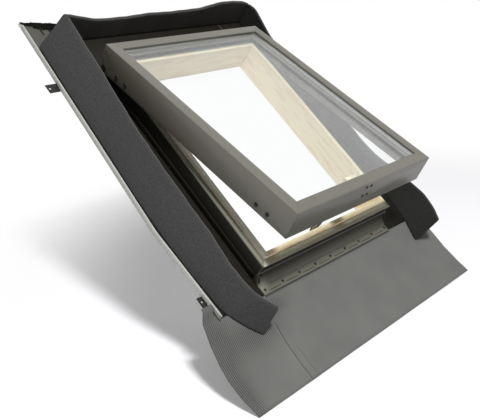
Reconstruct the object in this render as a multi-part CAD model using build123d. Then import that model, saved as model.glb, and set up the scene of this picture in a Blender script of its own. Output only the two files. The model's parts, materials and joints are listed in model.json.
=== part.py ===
"""Top-hung roof hatch on a clad pine curb, with flashing, foam strips and a pleated apron.

Millimetres. X runs along the eaves, Y up the slope, Z out of the roof. The origin is the centre of
the four clip holes, on the roof plane. The sash is modelled shut and then swung to its rest angle.
"""
from build123d import *
from math import ceil, cos, hypot, radians, sin
import os

# Pine curb
FRAME_W = 470.0
FRAME_L = 567.0
LIP_Z = 50.0
BOARD_T = 22.0
BOARD_DROP = 18.0
UPSTAND_H = 8.0
CORNER_SCREW_D = 4.5
CORNER_SCREW_L = 60.0
CORNER_SCREW_HEAD_D = 9.0

# Curb cladding
SHEET_T = 1.5
LIP_W = 12.5
COVE_NOSE = 2.5
COVE_RIDGE = 4.5
COVE_RIDGE_DROP = 20.0
COVE_REACH = 23.0
FLANGE_W = 19.0
COVE_BEND_SHARES = (0.27, 0.43)
END_CAP_T = 2.0
RIVET_COUNT = 9
RIVET_HEAD_D = 6.5
RIVET_HEAD_H = 1.6
RIVET_D = 3.2
BUFFER_W = 9.0
BUFFER_L = 5.0
BUFFER_H = 1.5
BUFFER_SPREAD = 264.0

# Flashing
CLIP_T = 2.0
FLASH_T = 1.2
FLASH_UPSTAND = 14.0
FLASH_HEAD_W = 110.5
FLASH_WIDE_W = 144.5
FLASH_FOOT_W = 133.0
FLASH_WIDE_SHARE = 0.26
FLASH_LIP_H = 15.0
FLASH_HEAD_REACH = 188.5
HEAD_SHEET_REACH = 168.5
FILM_T = 0.8
FILM_W = 24.0
BEAD_R = 2.2
BEAD_GAP = 8.0
BEAD_COUNT = 3

# Fixing clips
CLIP_OUT = 7.0
CLIP_END = 3.5
CLIP_W = 22.0
CLIP_L = 60.0
CLIP_HOLE_D = 5.5
CLIP_HOLE_EDGE = 6.0

# Apron
APRON_SIDE = 37.0
APRON_L = 210.0
APRON_TUCK = 30.0
APRON_T = 1.0
APRON_SAG = 13.0
PLEAT_PITCH = 9.0
PLEAT_H = 2.0
APRON_SHARES = ((0.0, 0.0), (0.15, 0.0), (0.38, 0.55), (0.62, 1.0), (0.84, 0.9), (1.0, 0.62))

# Foam strips
FOAM_H = 62.0
FOAM_BASE = 20.0
FOAM_TOP = 8.0
FOAM_INSET = 14.0
FOAM_HEAD_GAP = 118.0
FOAM_END_RAKE = 24.0
LEFT_FOAM_SHARES = (
    (0.967, 0.000, 0.83, 1.07),
    (0.779, 0.000, 0.87, 0.99),
    (0.572, 0.000, 0.74, 0.98),
    (0.345, 0.000, 0.79, 0.96),
    (0.190, 0.000, 0.75, 0.96),
    (0.063, 0.010, 0.57, 0.94),
    (0.011, 0.040, 0.60, 0.90),
    (-0.042, 0.224, 0.50, 0.83),
    (-0.088, 0.457, 0.45, 0.75),
)
RIGHT_FOAM_SHARES = (
    (0.967, 0.000, 0.16, 1.00),
    (0.864, 0.000, 0.21, 0.86),
    (0.547, 0.030, 0.12, 0.85),
    (0.219, 0.100, -0.17, 1.00),
    (0.026, 0.139, -0.46, 1.07),
    (-0.033, 0.185, -0.44, 1.07),
    (-0.074, 0.224, -0.40, 1.05),
)
HEAD_FOAM_SHARES = ((0.0, 1.17), (0.14, 0.86), (0.41, 0.88), (0.70, 0.93), (0.86, 1.18), (1.0, 1.13))

# Sash
SASH_FRONT_OVER = 10.0
SASH_BACK_OVER = 14.0
SKIRT_DROP = 13.4
RAIL_T = 2.0
FLANGE_TOP_W = 26.0
SHELF_W = 32.0
REST_OPEN = 12.4
CLEAT_LEG = 30.0
CLEAT_H = 16.0
PLUG_D = 6.0
PLUG_HEAD_D = 10.0
PLUG_HEAD_H = 1.4
PLUG_END = 57.0
PLUG_PITCH = 31.0
PLUG_RISE = 1.0
DRAIN_D = 4.0
DRAIN_END = 6.0
DRAIN_DEPTH = 16.0

# Glass unit
PANE_T = 4.0
CAVITY_T = 9.5
OUTER_GASKET_T = 2.5
OUTER_GASKET_PEEK = 1.5
TAPE_T = 1.0
TAPE_W = 12.0
PANE_EDGE_GAP = 5.0
SPACER_W = 8.0
SEALANT_W = 6.0
SEAL_W = 6.0
SEAL_H = 6.0
SEAL_GAP = 0.4

# Hinge
HINGE_BEHIND = 1.5
HINGE_DROP = 12.0
PIN_D = 6.0
PIN_HEAD_D = 13.0
PIN_HEAD_H = 2.5
EAR_R = 7.0
BRACKET_T = 3.0
BRACKET_L = 62.0
BRACKET_SCREW_D = 4.0
BRACKET_SCREW_L = 20.0
BRACKET_SCREW_HEAD_D = 7.5
BRACKET_SCREW_HEAD_H = 1.8
LEAF_T = 2.0
LEAF_L = 112.0
WASHER_D = 12.0
WASHER_T = 3.4

# Stay
STAY_W = 36.0
STAY_T = 3.0
STAY_L = 160.0
STAY_LEAN = 8.0
STAY_TIP_R = 12.0
STAY_EYE_R = 5.0
STAY_PIN_D = 5.0
STAY_PIN_HEAD_D = 8.0
STAY_PIN_HEAD_H = 1.5
STAY_PIN_INSIDE = 10.0
STAY_PIN_DROP = 6.5
STAY_SLOT_W = 9.0
STAY_SLOT_L = 22.0
STAY_SLOT_PITCH = 36.0
STAY_SLOT_COUNT = 3
STAY_BRACKET_T = 2.0
STAY_RIVET_X = 17.0
STAY_RIVET_Z = 23.0
STAY_RIVET_TOP = 11.0
STAY_RIVET_D = 3.2
STAY_RIVET_HEAD_D = 6.4
STAY_RIVET_HEAD_H = 1.4
STAY_RIVET_EDGE = 5.0
KEEPER_W = 40.0
KEEPER_H = 24.0
KEEPER_T = 1.5
KEEPER_STUD_D = 7.0
KEEPER_STUD_H = 1.0
KEEPER_SCREW_D = 3.5
KEEPER_SCREW_HEAD_D = 6.0
KEEPER_SCREW_HEAD_H = 1.0
KEEPER_SCREW_L = 14.0

# Clearances
RUN_GAP = 0.08
FIT_GAP = 0.02
SEAT_GAP = 0.1
SOFT_GAP = 0.3

# Worked out from the sizes above
HALF_W = FRAME_W / 2
HALF_L = FRAME_L / 2
WOOD_TOP = LIP_Z + UPSTAND_H
WOOD_HALF_W = HALF_W - SHEET_T
WOOD_HALF_L = HALF_L - SHEET_T
INNER_HALF_W = WOOD_HALF_W - BOARD_T
INNER_HALF_L = WOOD_HALF_L - BOARD_T
FLASH_TOP = CLIP_T + FLASH_T
FLASH_FOOT_Y = -HALF_L - COVE_REACH - FLANGE_W
FLASH_HEAD_Y = HALF_L + FLASH_HEAD_REACH
HEAD_SHEET_Y = HALF_L + HEAD_SHEET_REACH
FLASH_WIDE_Y = FLASH_FOOT_Y + FLASH_WIDE_SHARE * (FLASH_HEAD_Y - FLASH_FOOT_Y)
FOAM_HEAD_Y = HALF_L + FOAM_HEAD_GAP
FLANGE_TOP_Z = CLIP_T + SHEET_T
COVE_RIDGE_Z = LIP_Z - COVE_RIDGE_DROP
CLIP_SPREAD_X = FRAME_W + 2 * (FLASH_FOOT_W + CLIP_OUT)
CLIP_SPREAD_Y = FRAME_L - 2 * CLIP_END
APRON_W = FRAME_W + 2 * (FLASH_FOOT_W + APRON_SIDE)
HINGE_Y = HALF_L + HINGE_BEHIND
HINGE_Z = LIP_Z - HINGE_DROP
SKIRT_IN_X = HALF_W + BRACKET_T + SEAT_GAP + WASHER_T + LEAF_T
SASH_HALF_W = SKIRT_IN_X + RAIL_T
SASH_FRONT = -HALF_L - SASH_FRONT_OVER
SASH_BACK = HALF_L + SASH_BACK_OVER
SASH_HALF_L = (SASH_BACK - SASH_FRONT) / 2
SASH_SHIFT = (SASH_BACK + SASH_FRONT) / 2
SKIRT_Z = HINGE_Z - SKIRT_DROP
SHELF_Z = WOOD_TOP + SEAL_H
SHELF_TOP = SHELF_Z + RAIL_T
INNER_PANE_Z = SHELF_TOP + TAPE_T
PANE_TOP = INNER_PANE_Z + 2 * PANE_T + CAVITY_T
FLANGE_UNDER = PANE_TOP + OUTER_GASKET_T
SASH_TOP_Z = FLANGE_UNDER + RAIL_T
STAY_PIN_Y = STAY_PIN_INSIDE - INNER_HALF_L
STAY_PIN_Z = SHELF_Z - STAY_BRACKET_T - STAY_PIN_DROP
STAY_EAR_X = STAY_W / 2 + SOFT_GAP
STAY_BRACKET_HALF = STAY_EAR_X + STAY_BRACKET_T
SASH_AXIS = Axis((0, HINGE_Y, HINGE_Z), (1, 0, 0))
STAY_AXIS = Axis((0, STAY_PIN_Y, STAY_PIN_Z), (1, 0, 0))

NODES = {}
SASH_NODES = set()


def block(x0, x1, y0, y1, z0, z1):
    """Box between two corners, given in any order on X."""
    low, high = min(x0, x1), max(x0, x1)
    return Pos((low + high) / 2, (y0 + y1) / 2, (z0 + z1) / 2) * Box(high - low, y1 - y0, z1 - z0)


def rod(start, direction, length, diameter):
    """Round bar from a point along a direction."""
    return Plane(start, z_dir=direction) * Cylinder(
        diameter / 2, length, align=(Align.CENTER, Align.CENTER, Align.MIN)
    )


def along_x(outline, x0, x1):
    """Outline in Y and Z carried from x0 to x1."""
    return extrude(Plane((min(x0, x1), 0, 0), x_dir=(0, 1, 0), z_dir=(1, 0, 0)) * outline, abs(x1 - x0))


def polygon(*points):
    """Flat face on a closed run of points."""
    return make_face(Polyline(*points, close=True))


def ring(half_w, half_l, width, z0, z1, y_mid=0.0):
    """Rectangular ring, with its outer half sizes and the width of its band."""
    outer = block(-half_w, half_w, y_mid - half_l, y_mid + half_l, z0, z1)
    inner_w, inner_l = half_w - width, half_l - width
    return outer - block(-inner_w, inner_w, y_mid - inner_l, y_mid + inner_l, z0, z1)


def mitre_wedge(side, half_w, half_l, reach, z0, z1, y_mid=0.0):
    """Prism over one side of a rectangle, cut at 45 degrees at both ends."""
    w, n = half_w, half_l
    corners = {
        "head": ((-w, n), (w, n), (w - reach, n - reach), (reach - w, n - reach)),
        "foot": ((-w, -n), (w, -n), (w - reach, reach - n), (reach - w, reach - n)),
        "left": ((-w, -n), (reach - w, reach - n), (reach - w, n - reach), (-w, n)),
        "right": ((w, -n), (w - reach, reach - n), (w - reach, n - reach), (w, n)),
    }[side]
    return Pos(0, y_mid, z0) * extrude(polygon(*corners), z1 - z0)


def add(name, shape, on_sash=False):
    """Keep a node's solids, and mark what swings with the sash."""
    NODES[name] = shape if isinstance(shape, list) else [shape]
    if on_sash:
        SASH_NODES.add(name)


def gutter_width(y):
    """Distance from the curb's side to the flashing's outer edge, which is widest part of the way up."""
    end_y, end_w = (FLASH_FOOT_Y, FLASH_FOOT_W) if y < FLASH_WIDE_Y else (FLASH_HEAD_Y, FLASH_HEAD_W)
    return FLASH_WIDE_W + (end_w - FLASH_WIDE_W) * (y - FLASH_WIDE_Y) / (end_y - FLASH_WIDE_Y)


def head_edge(out):
    """Place up the slope of a gutter's slanted head edge, at a distance from the curb's side."""
    return HEAD_SHEET_Y + out / FLASH_HEAD_W * (FLASH_HEAD_Y - HEAD_SHEET_Y)


def curb():
    """Four pine boards with a rebate under the cladding's lip, screwed at the corners."""
    rebate = LIP_W - SHEET_T
    body = ring(WOOD_HALF_W, WOOD_HALF_L, BOARD_T, -BOARD_DROP, LIP_Z - SHEET_T)
    body += ring(WOOD_HALF_W - rebate, WOOD_HALF_L - rebate, BOARD_T - rebate, LIP_Z - SHEET_T, WOOD_TOP)
    heights = (-BOARD_DROP / 2, LIP_Z / 2)
    screws, holes = [], []
    for side in (-1, 1):
        for end in (-1, 1):
            for z in heights:
                start = (side * WOOD_HALF_W, end * (WOOD_HALF_L - BOARD_T / 2), z)
                head_h = (CORNER_SCREW_HEAD_D - CORNER_SCREW_D) / 2
                head = Plane(start, z_dir=(-side, 0, 0)) * Cone(
                    CORNER_SCREW_HEAD_D / 2, CORNER_SCREW_D / 2, head_h,
                    align=(Align.CENTER, Align.CENTER, Align.MIN),
                )
                screws.append(head + rod(start, (-side, 0, 0), CORNER_SCREW_L, CORNER_SCREW_D))
                wide = 2 * FIT_GAP
                sink = Plane(start, z_dir=(-side, 0, 0)) * Cone(
                    CORNER_SCREW_HEAD_D / 2 + FIT_GAP, CORNER_SCREW_D / 2 + FIT_GAP, head_h + FIT_GAP,
                    align=(Align.CENTER, Align.CENTER, Align.MIN),
                )
                holes.append(sink + rod(start, (-side, 0, 0), CORNER_SCREW_L + wide, CORNER_SCREW_D + wide))
    body -= holes
    for side, name in ((-1, "left"), (1, "right")):
        inner = side * INNER_HALF_W
        board = body & block(side * WOOD_HALF_W, inner, -WOOD_HALF_L, WOOD_HALF_L, -BOARD_DROP, WOOD_TOP)
        add(f"frame_{name}_jamb", hinge_screw_holes(board, side))
    between = (-INNER_HALF_W, INNER_HALF_W)
    add("frame_head", body & block(*between, INNER_HALF_L, WOOD_HALF_L, -BOARD_DROP, WOOD_TOP))
    sill = body & block(*between, -WOOD_HALF_L, -INNER_HALF_L, -BOARD_DROP, WOOD_TOP)
    add("frame_sill", sill - keeper_screws(FIT_GAP))
    add("frame_corner_screws", screws)


def hinge_screw_places(side):
    """The two screw places on a hinge bracket, at the curb's outer face."""
    first = HINGE_Y - BRACKET_L + EAR_R
    second = HINGE_Y - BRACKET_L / 2
    return [(side * (HALF_W + BRACKET_T), y, HINGE_Z) for y in (first, second)]


def hinge_screw_holes(solid, side):
    """A jamb, cladding or bracket with the hinge screws' holes through it."""
    for place in hinge_screw_places(side):
        solid -= rod(place, (-side, 0, 0), BRACKET_SCREW_L + FIT_GAP, BRACKET_SCREW_D + 2 * FIT_GAP)
    return solid


def cladding():
    """Folded sheet on the curb's sides and head: a wall and a lip over the rebate."""
    foot = FLASH_TOP
    body = ring(HALF_W, HALF_L, SHEET_T, foot, LIP_Z)
    body += ring(HALF_W, HALF_L, LIP_W, LIP_Z - SHEET_T, LIP_Z)
    for name in ("head", "left", "right"):
        wedge = mitre_wedge(name, HALF_W, HALF_L, LIP_W, foot, LIP_Z)
        sheet = body & wedge
        if name != "head":
            sheet = hinge_screw_holes(sheet, -1 if name == "left" else 1)
        add(f"{name}_cladding", sheet)


def cove_path(inner):
    """Sill sheet's outer line in Y and Z: lip, nose, ridge, hollow cove and flange."""
    def place(out, z):
        return (-HALF_L - out, z)

    ridge = place(COVE_RIDGE, COVE_RIDGE_Z)
    foot = place(COVE_REACH, FLANGE_TOP_Z)
    bend_out, bend_up = COVE_BEND_SHARES
    middle = place(
        COVE_RIDGE + bend_out * (COVE_REACH - COVE_RIDGE),
        FLANGE_TOP_Z + bend_up * (COVE_RIDGE_Z - FLANGE_TOP_Z),
    )
    start = Polyline(inner, place(COVE_NOSE, inner[1]), place(COVE_NOSE, COVE_RIDGE_Z), ridge)
    return start, ThreePointArc(ridge, middle, foot), foot


def sill_cover():
    """Sill cladding with its cove and flange, end caps, flange rivets and buffer pads."""
    start, arc, foot = cove_path((LIP_W - HALF_L, LIP_Z))
    edge = (foot[0] - FLANGE_W, foot[1])
    path = Wire([*start.edges(), arc, Line(foot, edge)])
    section = make_face(path.offset_2d(SHEET_T, kind=Kind.INTERSECTION, side=Side.LEFT, closed=True))
    sheet = along_x(section, -HALF_W, HALF_W)
    lip_band = block(-HALF_W, HALF_W, -HALF_L, LIP_W - HALF_L, LIP_Z - SHEET_T, LIP_Z)
    sheet -= lip_band - mitre_wedge("foot", HALF_W, HALF_L, LIP_W, LIP_Z - SHEET_T, LIP_Z)
    rivets = []
    rivet_y = (foot[0] + edge[0]) / 2
    pitch = (FRAME_W - FLANGE_W) / (RIVET_COUNT - 1)
    for i in range(RIVET_COUNT):
        place = (FLANGE_W / 2 - HALF_W + i * pitch, rivet_y, FLANGE_TOP_Z)
        sheet -= rod(place, (0, 0, -1), SHEET_T, RIVET_D + 2 * FIT_GAP)
        dome = Pos(*place) * Cone(
            RIVET_HEAD_D / 2, RIVET_D / 2, RIVET_HEAD_H, align=(Align.CENTER, Align.CENTER, Align.MIN)
        )
        rivets.append(dome + rod(place, (0, 0, -1), SHEET_T, RIVET_D))
    add("sill_cladding", sheet)
    add("apron_rivets", rivets)
    cap_start, cap_arc, cap_foot = cove_path((-HALF_L, LIP_Z))
    back = Polyline(cap_foot, (-HALF_L, cap_foot[1]), (-HALF_L, LIP_Z))
    outline = make_face(Wire([*cap_start.edges(), cap_arc, *back.edges()]))
    for side, name in ((-1, "left"), (1, "right")):
        add(f"sill_end_cap_{name}", along_x(outline, side * HALF_W, side * (HALF_W + END_CAP_T)))
    pads = []
    for side in (-1, 1):
        x, y = side * BUFFER_SPREAD / 2, (LIP_W - BUFFER_L) / 2 - HALF_L
        pads.append(block(x - BUFFER_W / 2, x + BUFFER_W / 2, y, y + BUFFER_L, LIP_Z, LIP_Z + BUFFER_H))
    add("sill_buffers", pads)


def flashing():
    """Side gutters with a standing outer lip, the head sheet between them, and the head film."""
    for side, name in ((-1, "left"), (1, "right")):
        sections = []
        for y in (FLASH_FOOT_Y, FLASH_WIDE_Y, FLASH_HEAD_Y):
            wide, top = gutter_width(y), CLIP_T + FLASH_LIP_H
            corners = (
                (0, CLIP_T), (wide, CLIP_T), (wide, top),
                (wide - FLASH_T, top), (wide - FLASH_T, FLASH_TOP), (0, FLASH_TOP),
            )
            places = [head_edge(out) if y == FLASH_HEAD_Y else y for out, _ in corners]
            points = [(side * (HALF_W + out), place, z) for (out, z), place in zip(corners, places)]
            sections.append(Face(Wire.make_polygon(points)))
        sheet = loft(sections, ruled=True)
        wall = side * (HALF_W + FLASH_T)
        sheet += block(side * HALF_W, wall, -HALF_L, HALF_L, FLASH_TOP, FLASH_TOP + FLASH_UPSTAND)
        bead_pitch = FLASH_HEAD_W / (BEAD_COUNT + 2)
        bead_low = FOAM_HEAD_Y + FOAM_BASE + BEAD_GAP
        for i in range(BEAD_COUNT):
            out = (i + 1) * bead_pitch
            x, bead_high = side * (HALF_W + out), head_edge(out - BEAD_R)
            bead = rod((x, bead_low, FLASH_TOP), (0, 1, 0), bead_high - bead_low, 2 * BEAD_R)
            sheet += bead & block(x - BEAD_R, x + BEAD_R, bead_low, bead_high, FLASH_TOP, FLASH_TOP + BEAD_R)
        add(f"{name}_flashing", sheet)
    head = block(-HALF_W, HALF_W, HALF_L, HEAD_SHEET_Y, CLIP_T, FLASH_TOP)
    head += block(-HALF_W, HALF_W, HALF_L, HALF_L + FLASH_T, FLASH_TOP, FLASH_TOP + FLASH_UPSTAND)
    add("head_flashing", head)
    film_y = HEAD_SHEET_Y - FILM_W
    add("head_film", block(-HALF_W, HALF_W, film_y, HEAD_SHEET_Y, FLASH_TOP, FLASH_TOP + FILM_T))


def fixing_clips():
    """Four flat straps under the gutters, each with a nail hole outside the standing lip."""
    clips = []
    for side in (-1, 1):
        for end in (-1, 1):
            x, y = side * CLIP_SPREAD_X / 2, end * CLIP_SPREAD_Y / 2
            outer = x + side * CLIP_HOLE_EDGE
            strap = block(outer, outer - side * CLIP_L, y - CLIP_W / 2, y + CLIP_W / 2, 0, CLIP_T)
            clips.append(strap - rod((x, y, 0), (0, 0, 1), CLIP_T, CLIP_HOLE_D))
    add("fixing_clips", clips)


def apron():
    """Pleated sheet from under the sill flange, sagging over the tiles."""
    count = ceil(APRON_W / PLEAT_PITCH)
    step = APRON_W / (2 * count)
    top_y = FLASH_FOOT_Y + APRON_TUCK
    top_z = CLIP_T - SEAT_GAP
    stations = []
    for run, dip in APRON_SHARES:
        y, z = top_y - run * APRON_L, top_z - dip * APRON_SAG
        upper = [(i * step - APRON_W / 2, y, z - PLEAT_H * (i % 2)) for i in range(2 * count + 1)]
        lower = [(x, y, height - APRON_T) for x, _, height in reversed(upper)]
        stations.append(Face(Wire.make_polygon(upper + lower)))
    add("apron", loft(stations, ruled=True))


def leaning_strip(stations, base_z):
    """Loft of wedge sections: base points on a path, each with a lean and a rise, and a raked first end."""
    sections = []
    for i, (x, y, lean, rise) in enumerate(stations):
        before, after = stations[max(i - 1, 0)], stations[min(i + 1, len(stations) - 1)]
        tx, ty = after[0] - before[0], after[1] - before[1]
        size = hypot(tx, ty)
        nx, ny = abs(ty) / size, abs(tx) / size
        if after[0] < before[0]:
            ny = -ny
        rake = 0 if i else FOAM_END_RAKE
        tip_x, tip_y, tip_z = x + nx * lean, y + ny * lean + rake, base_z + rise
        sections.append(Face(Wire.make_polygon([
            (x, y, base_z),
            (x + nx * FOAM_BASE, y + ny * FOAM_BASE, base_z),
            (tip_x + nx * FOAM_TOP, tip_y + ny * FOAM_TOP, tip_z),
            (tip_x, tip_y, tip_z),
        ])))
    return loft(sections, ruled=True)


def foam_strips():
    """Foam wedges on the gutters and across the head, bent in over the apron at the foot."""
    base_z = FLASH_TOP + SOFT_GAP
    run_l = FOAM_HEAD_Y + FOAM_BASE - FLASH_FOOT_Y
    for name, table in (("left", LEFT_FOAM_SHARES), ("right", RIGHT_FOAM_SHARES)):
        stations = []
        for run, tuck, lean, rise in table:
            y = FLASH_FOOT_Y + run * run_l
            out = gutter_width(max(y, FLASH_FOOT_Y)) - FOAM_INSET - tuck * FLASH_FOOT_W
            stations.append((-HALF_W - out, y, lean * FOAM_H, rise * FOAM_H))
        strip = leaning_strip(stations, base_z)
        add(f"{name}_foam_strip", strip if name == "left" else mirror(strip, about=Plane.YZ))
    y = FOAM_HEAD_Y
    corner = gutter_width(y) - FOAM_INSET - FOAM_BASE - SOFT_GAP
    reach = LEFT_FOAM_SHARES[0][2] * FOAM_H
    x_left = -HALF_W - corner - FOAM_BASE + reach + FOAM_TOP + SOFT_GAP
    x_right = HALF_W + corner - SOFT_GAP
    sections = []
    for run, rise in HEAD_FOAM_SHARES:
        x, top = x_left + run * (x_right - x_left), base_z + rise * FOAM_H
        inset = (FOAM_BASE - FOAM_TOP) / 2
        corners = (
            (x, y, base_z), (x, y + FOAM_BASE, base_z),
            (x, y + FOAM_BASE - inset, top), (x, y + inset, top),
        )
        sections.append(Face(Wire.make_polygon(corners)))
    add("head_foam_strip", loft(sections, ruled=True))


def hinges():
    """Side pivots: a bracket on each jamb, a pin through it, and a leaf inside each stile."""
    screws, washers = [], []
    for side, name in ((-1, "left"), (1, "right")):
        out = (side, 0, 0)
        inner_x, outer_x = side * HALF_W, side * (HALF_W + BRACKET_T)
        low, high = HINGE_Z - EAR_R, HINGE_Z + EAR_R
        bracket = block(inner_x, outer_x, HINGE_Y - BRACKET_L, HINGE_Y, low, high)
        bracket += rod((inner_x, HINGE_Y, HINGE_Z), out, BRACKET_T, 2 * EAR_R)
        bracket -= rod((inner_x, HINGE_Y, HINGE_Z), out, BRACKET_T, PIN_D + 2 * FIT_GAP)
        add(f"hinge_bracket_{name}", hinge_screw_holes(bracket, side))
        for place in hinge_screw_places(side):
            head = rod(place, out, BRACKET_SCREW_HEAD_H, BRACKET_SCREW_HEAD_D)
            screws.append(head + rod(place, (-side, 0, 0), BRACKET_SCREW_L, BRACKET_SCREW_D))
        head_x = side * (SASH_HALF_W + RUN_GAP)
        pin = rod((inner_x, HINGE_Y, HINGE_Z), out, abs(head_x - inner_x), PIN_D)
        pin += rod((head_x, HINGE_Y, HINGE_Z), out, PIN_HEAD_H, PIN_HEAD_D)
        add(f"hinge_pin_{name}", pin)
        leaf_x = side * (SKIRT_IN_X - LEAF_T)
        leaf = block(leaf_x, side * SKIRT_IN_X, HINGE_Y - LEAF_L, HINGE_Y, low, high)
        leaf += rod((leaf_x, HINGE_Y, HINGE_Z), out, LEAF_T, 2 * EAR_R)
        leaf -= rod((leaf_x, HINGE_Y, HINGE_Z), out, LEAF_T, PIN_D + 2 * RUN_GAP)
        leaf -= [rod(place, (-side, 0, 0), RAIL_T + LEAF_T, PLUG_D + 2 * FIT_GAP) for place in plugs(side)]
        add(f"hinge_leaf_{name}", leaf, on_sash=True)
        washer = rod((leaf_x, HINGE_Y, HINGE_Z), (-side, 0, 0), WASHER_T, WASHER_D)
        washers.append(washer - rod((leaf_x, HINGE_Y, HINGE_Z), (-side, 0, 0), WASHER_T, PIN_D + 2 * RUN_GAP))
    add("hinge_bracket_screws", screws)
    add("hinge_washers", washers, on_sash=True)


def plugs(side):
    """The places of the four plugs on one stile, at its outer face."""
    near, far = SASH_FRONT + PLUG_END, SASH_BACK - PLUG_END
    runs = (near, near + PLUG_PITCH, far - PLUG_PITCH, far)
    return [(side * SASH_HALF_W, y, HINGE_Z + PLUG_RISE) for y in runs]


def sash_rails():
    """Four mitred rails of one bent section: top flange, glazing shelf and outer skirt."""
    body = ring(SASH_HALF_W, SASH_HALF_L, RAIL_T, SKIRT_Z, SASH_TOP_Z, SASH_SHIFT)
    body += ring(SASH_HALF_W, SASH_HALF_L, FLANGE_TOP_W, FLANGE_UNDER, SASH_TOP_Z, SASH_SHIFT)
    body += ring(SASH_HALF_W, SASH_HALF_L, SHELF_W, SHELF_Z, SHELF_TOP, SASH_SHIFT)
    body -= block(-SKIRT_IN_X, SKIRT_IN_X, SASH_BACK - RAIL_T, SASH_BACK, SKIRT_Z, HINGE_Z)
    slot_y = SASH_FRONT + RAIL_T
    slot_half = STAY_BRACKET_HALF + SEAT_GAP
    body -= block(-slot_half, slot_half, slot_y, slot_y + STAY_BRACKET_T + SEAT_GAP, SHELF_Z, SHELF_TOP)
    body -= [rod(p, (0, 1, 0), RAIL_T, STAY_RIVET_D + 2 * FIT_GAP) for p in stay_rivet_places()]
    for side in (-1, 1):
        inward = (-side, 0, 0)
        body -= [rod(p, inward, RAIL_T, PLUG_D + 2 * FIT_GAP) for p in plugs(side)]
        edge = side * SASH_HALF_W
        body -= rod((edge, HINGE_Y, HINGE_Z), inward, RAIL_T, PIN_D + 2 * RUN_GAP)
        body -= rod((edge, SASH_BACK - DRAIN_END, SASH_TOP_Z - DRAIN_DEPTH), inward, RAIL_T, DRAIN_D)
    names = {"head": "sash_head_rail", "foot": "sash_bottom_rail",
             "left": "sash_left_stile", "right": "sash_right_stile"}
    for side, name in names.items():
        wedge = mitre_wedge(side, SASH_HALF_W, SASH_HALF_L, SHELF_W, SKIRT_Z, SASH_TOP_Z, SASH_SHIFT)
        add(name, body & wedge, on_sash=True)
    cleats = []
    for side in (-1, 1):
        for end in (-1, 1):
            x, y = side * SKIRT_IN_X, SASH_SHIFT + end * (SASH_HALF_L - RAIL_T)
            z0 = SHELF_Z - CLEAT_H
            corners = sorted((y, y - end * CLEAT_LEG))
            leg = block(x, x - side * RAIL_T, *corners, z0, SHELF_Z)
            corners = sorted((y, y - end * RAIL_T))
            cleats.append(leg + block(x, x - side * CLEAT_LEG, *corners, z0, SHELF_Z))
    add("sash_corner_cleats", cleats, on_sash=True)
    studs = []
    for side in (-1, 1):
        for place in plugs(side):
            shank = rod(place, (-side, 0, 0), RAIL_T + LEAF_T, PLUG_D)
            studs.append(shank + rod(place, (side, 0, 0), PLUG_HEAD_H, PLUG_HEAD_D))
    add("stile_plugs", studs, on_sash=True)


def glazing():
    """Sealed double glass, its gaskets, and the seal that meets the curb's upstand."""
    edge = RAIL_T + PANE_EDGE_GAP
    half_w, half_l = SASH_HALF_W - edge, SASH_HALF_L - edge
    middle = SASH_SHIFT
    cavity_low, cavity_high = INNER_PANE_Z + PANE_T, PANE_TOP - PANE_T
    for name, z in (("outer_pane", cavity_high), ("inner_pane", INNER_PANE_Z)):
        pane = block(-half_w, half_w, middle - half_l, middle + half_l, z, z + PANE_T)
        add(name, pane, on_sash=True)
    spacer = ring(half_w - SEALANT_W, half_l - SEALANT_W, SPACER_W, cavity_low, cavity_high, middle)
    add("spacer_bar", spacer, on_sash=True)
    sealant = ring(half_w, half_l, SEALANT_W, cavity_low, cavity_high, middle)
    add("edge_sealant", sealant, on_sash=True)
    gasket_w = FLANGE_TOP_W + OUTER_GASKET_PEEK - edge
    add("outer_gasket", ring(half_w, half_l, gasket_w, PANE_TOP, FLANGE_UNDER, middle), on_sash=True)
    add("glazing_tape", ring(half_w, half_l, TAPE_W, SHELF_TOP, INNER_PANE_Z, middle), on_sash=True)
    seat = LIP_W + (BOARD_T + SHEET_T - LIP_W - SEAL_W) / 2
    seal = ring(HALF_W - seat, HALF_L - seat, SEAL_W, WOOD_TOP + SEAL_GAP, SHELF_Z)
    cut = STAY_BRACKET_HALF + SOFT_GAP
    seal -= block(-cut, cut, -HALF_L, -INNER_HALF_L, WOOD_TOP, SHELF_Z)
    add("sash_seal", seal, on_sash=True)


def stay_rivet_places():
    """The two by two rivets at the middle of the bottom rail's skirt, at its outer face."""
    half = STAY_RIVET_X / 2
    upper = SASH_TOP_Z - STAY_RIVET_TOP
    return [(x, SASH_FRONT, z) for x in (-half, half) for z in (upper - STAY_RIVET_Z, upper)]


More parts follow.
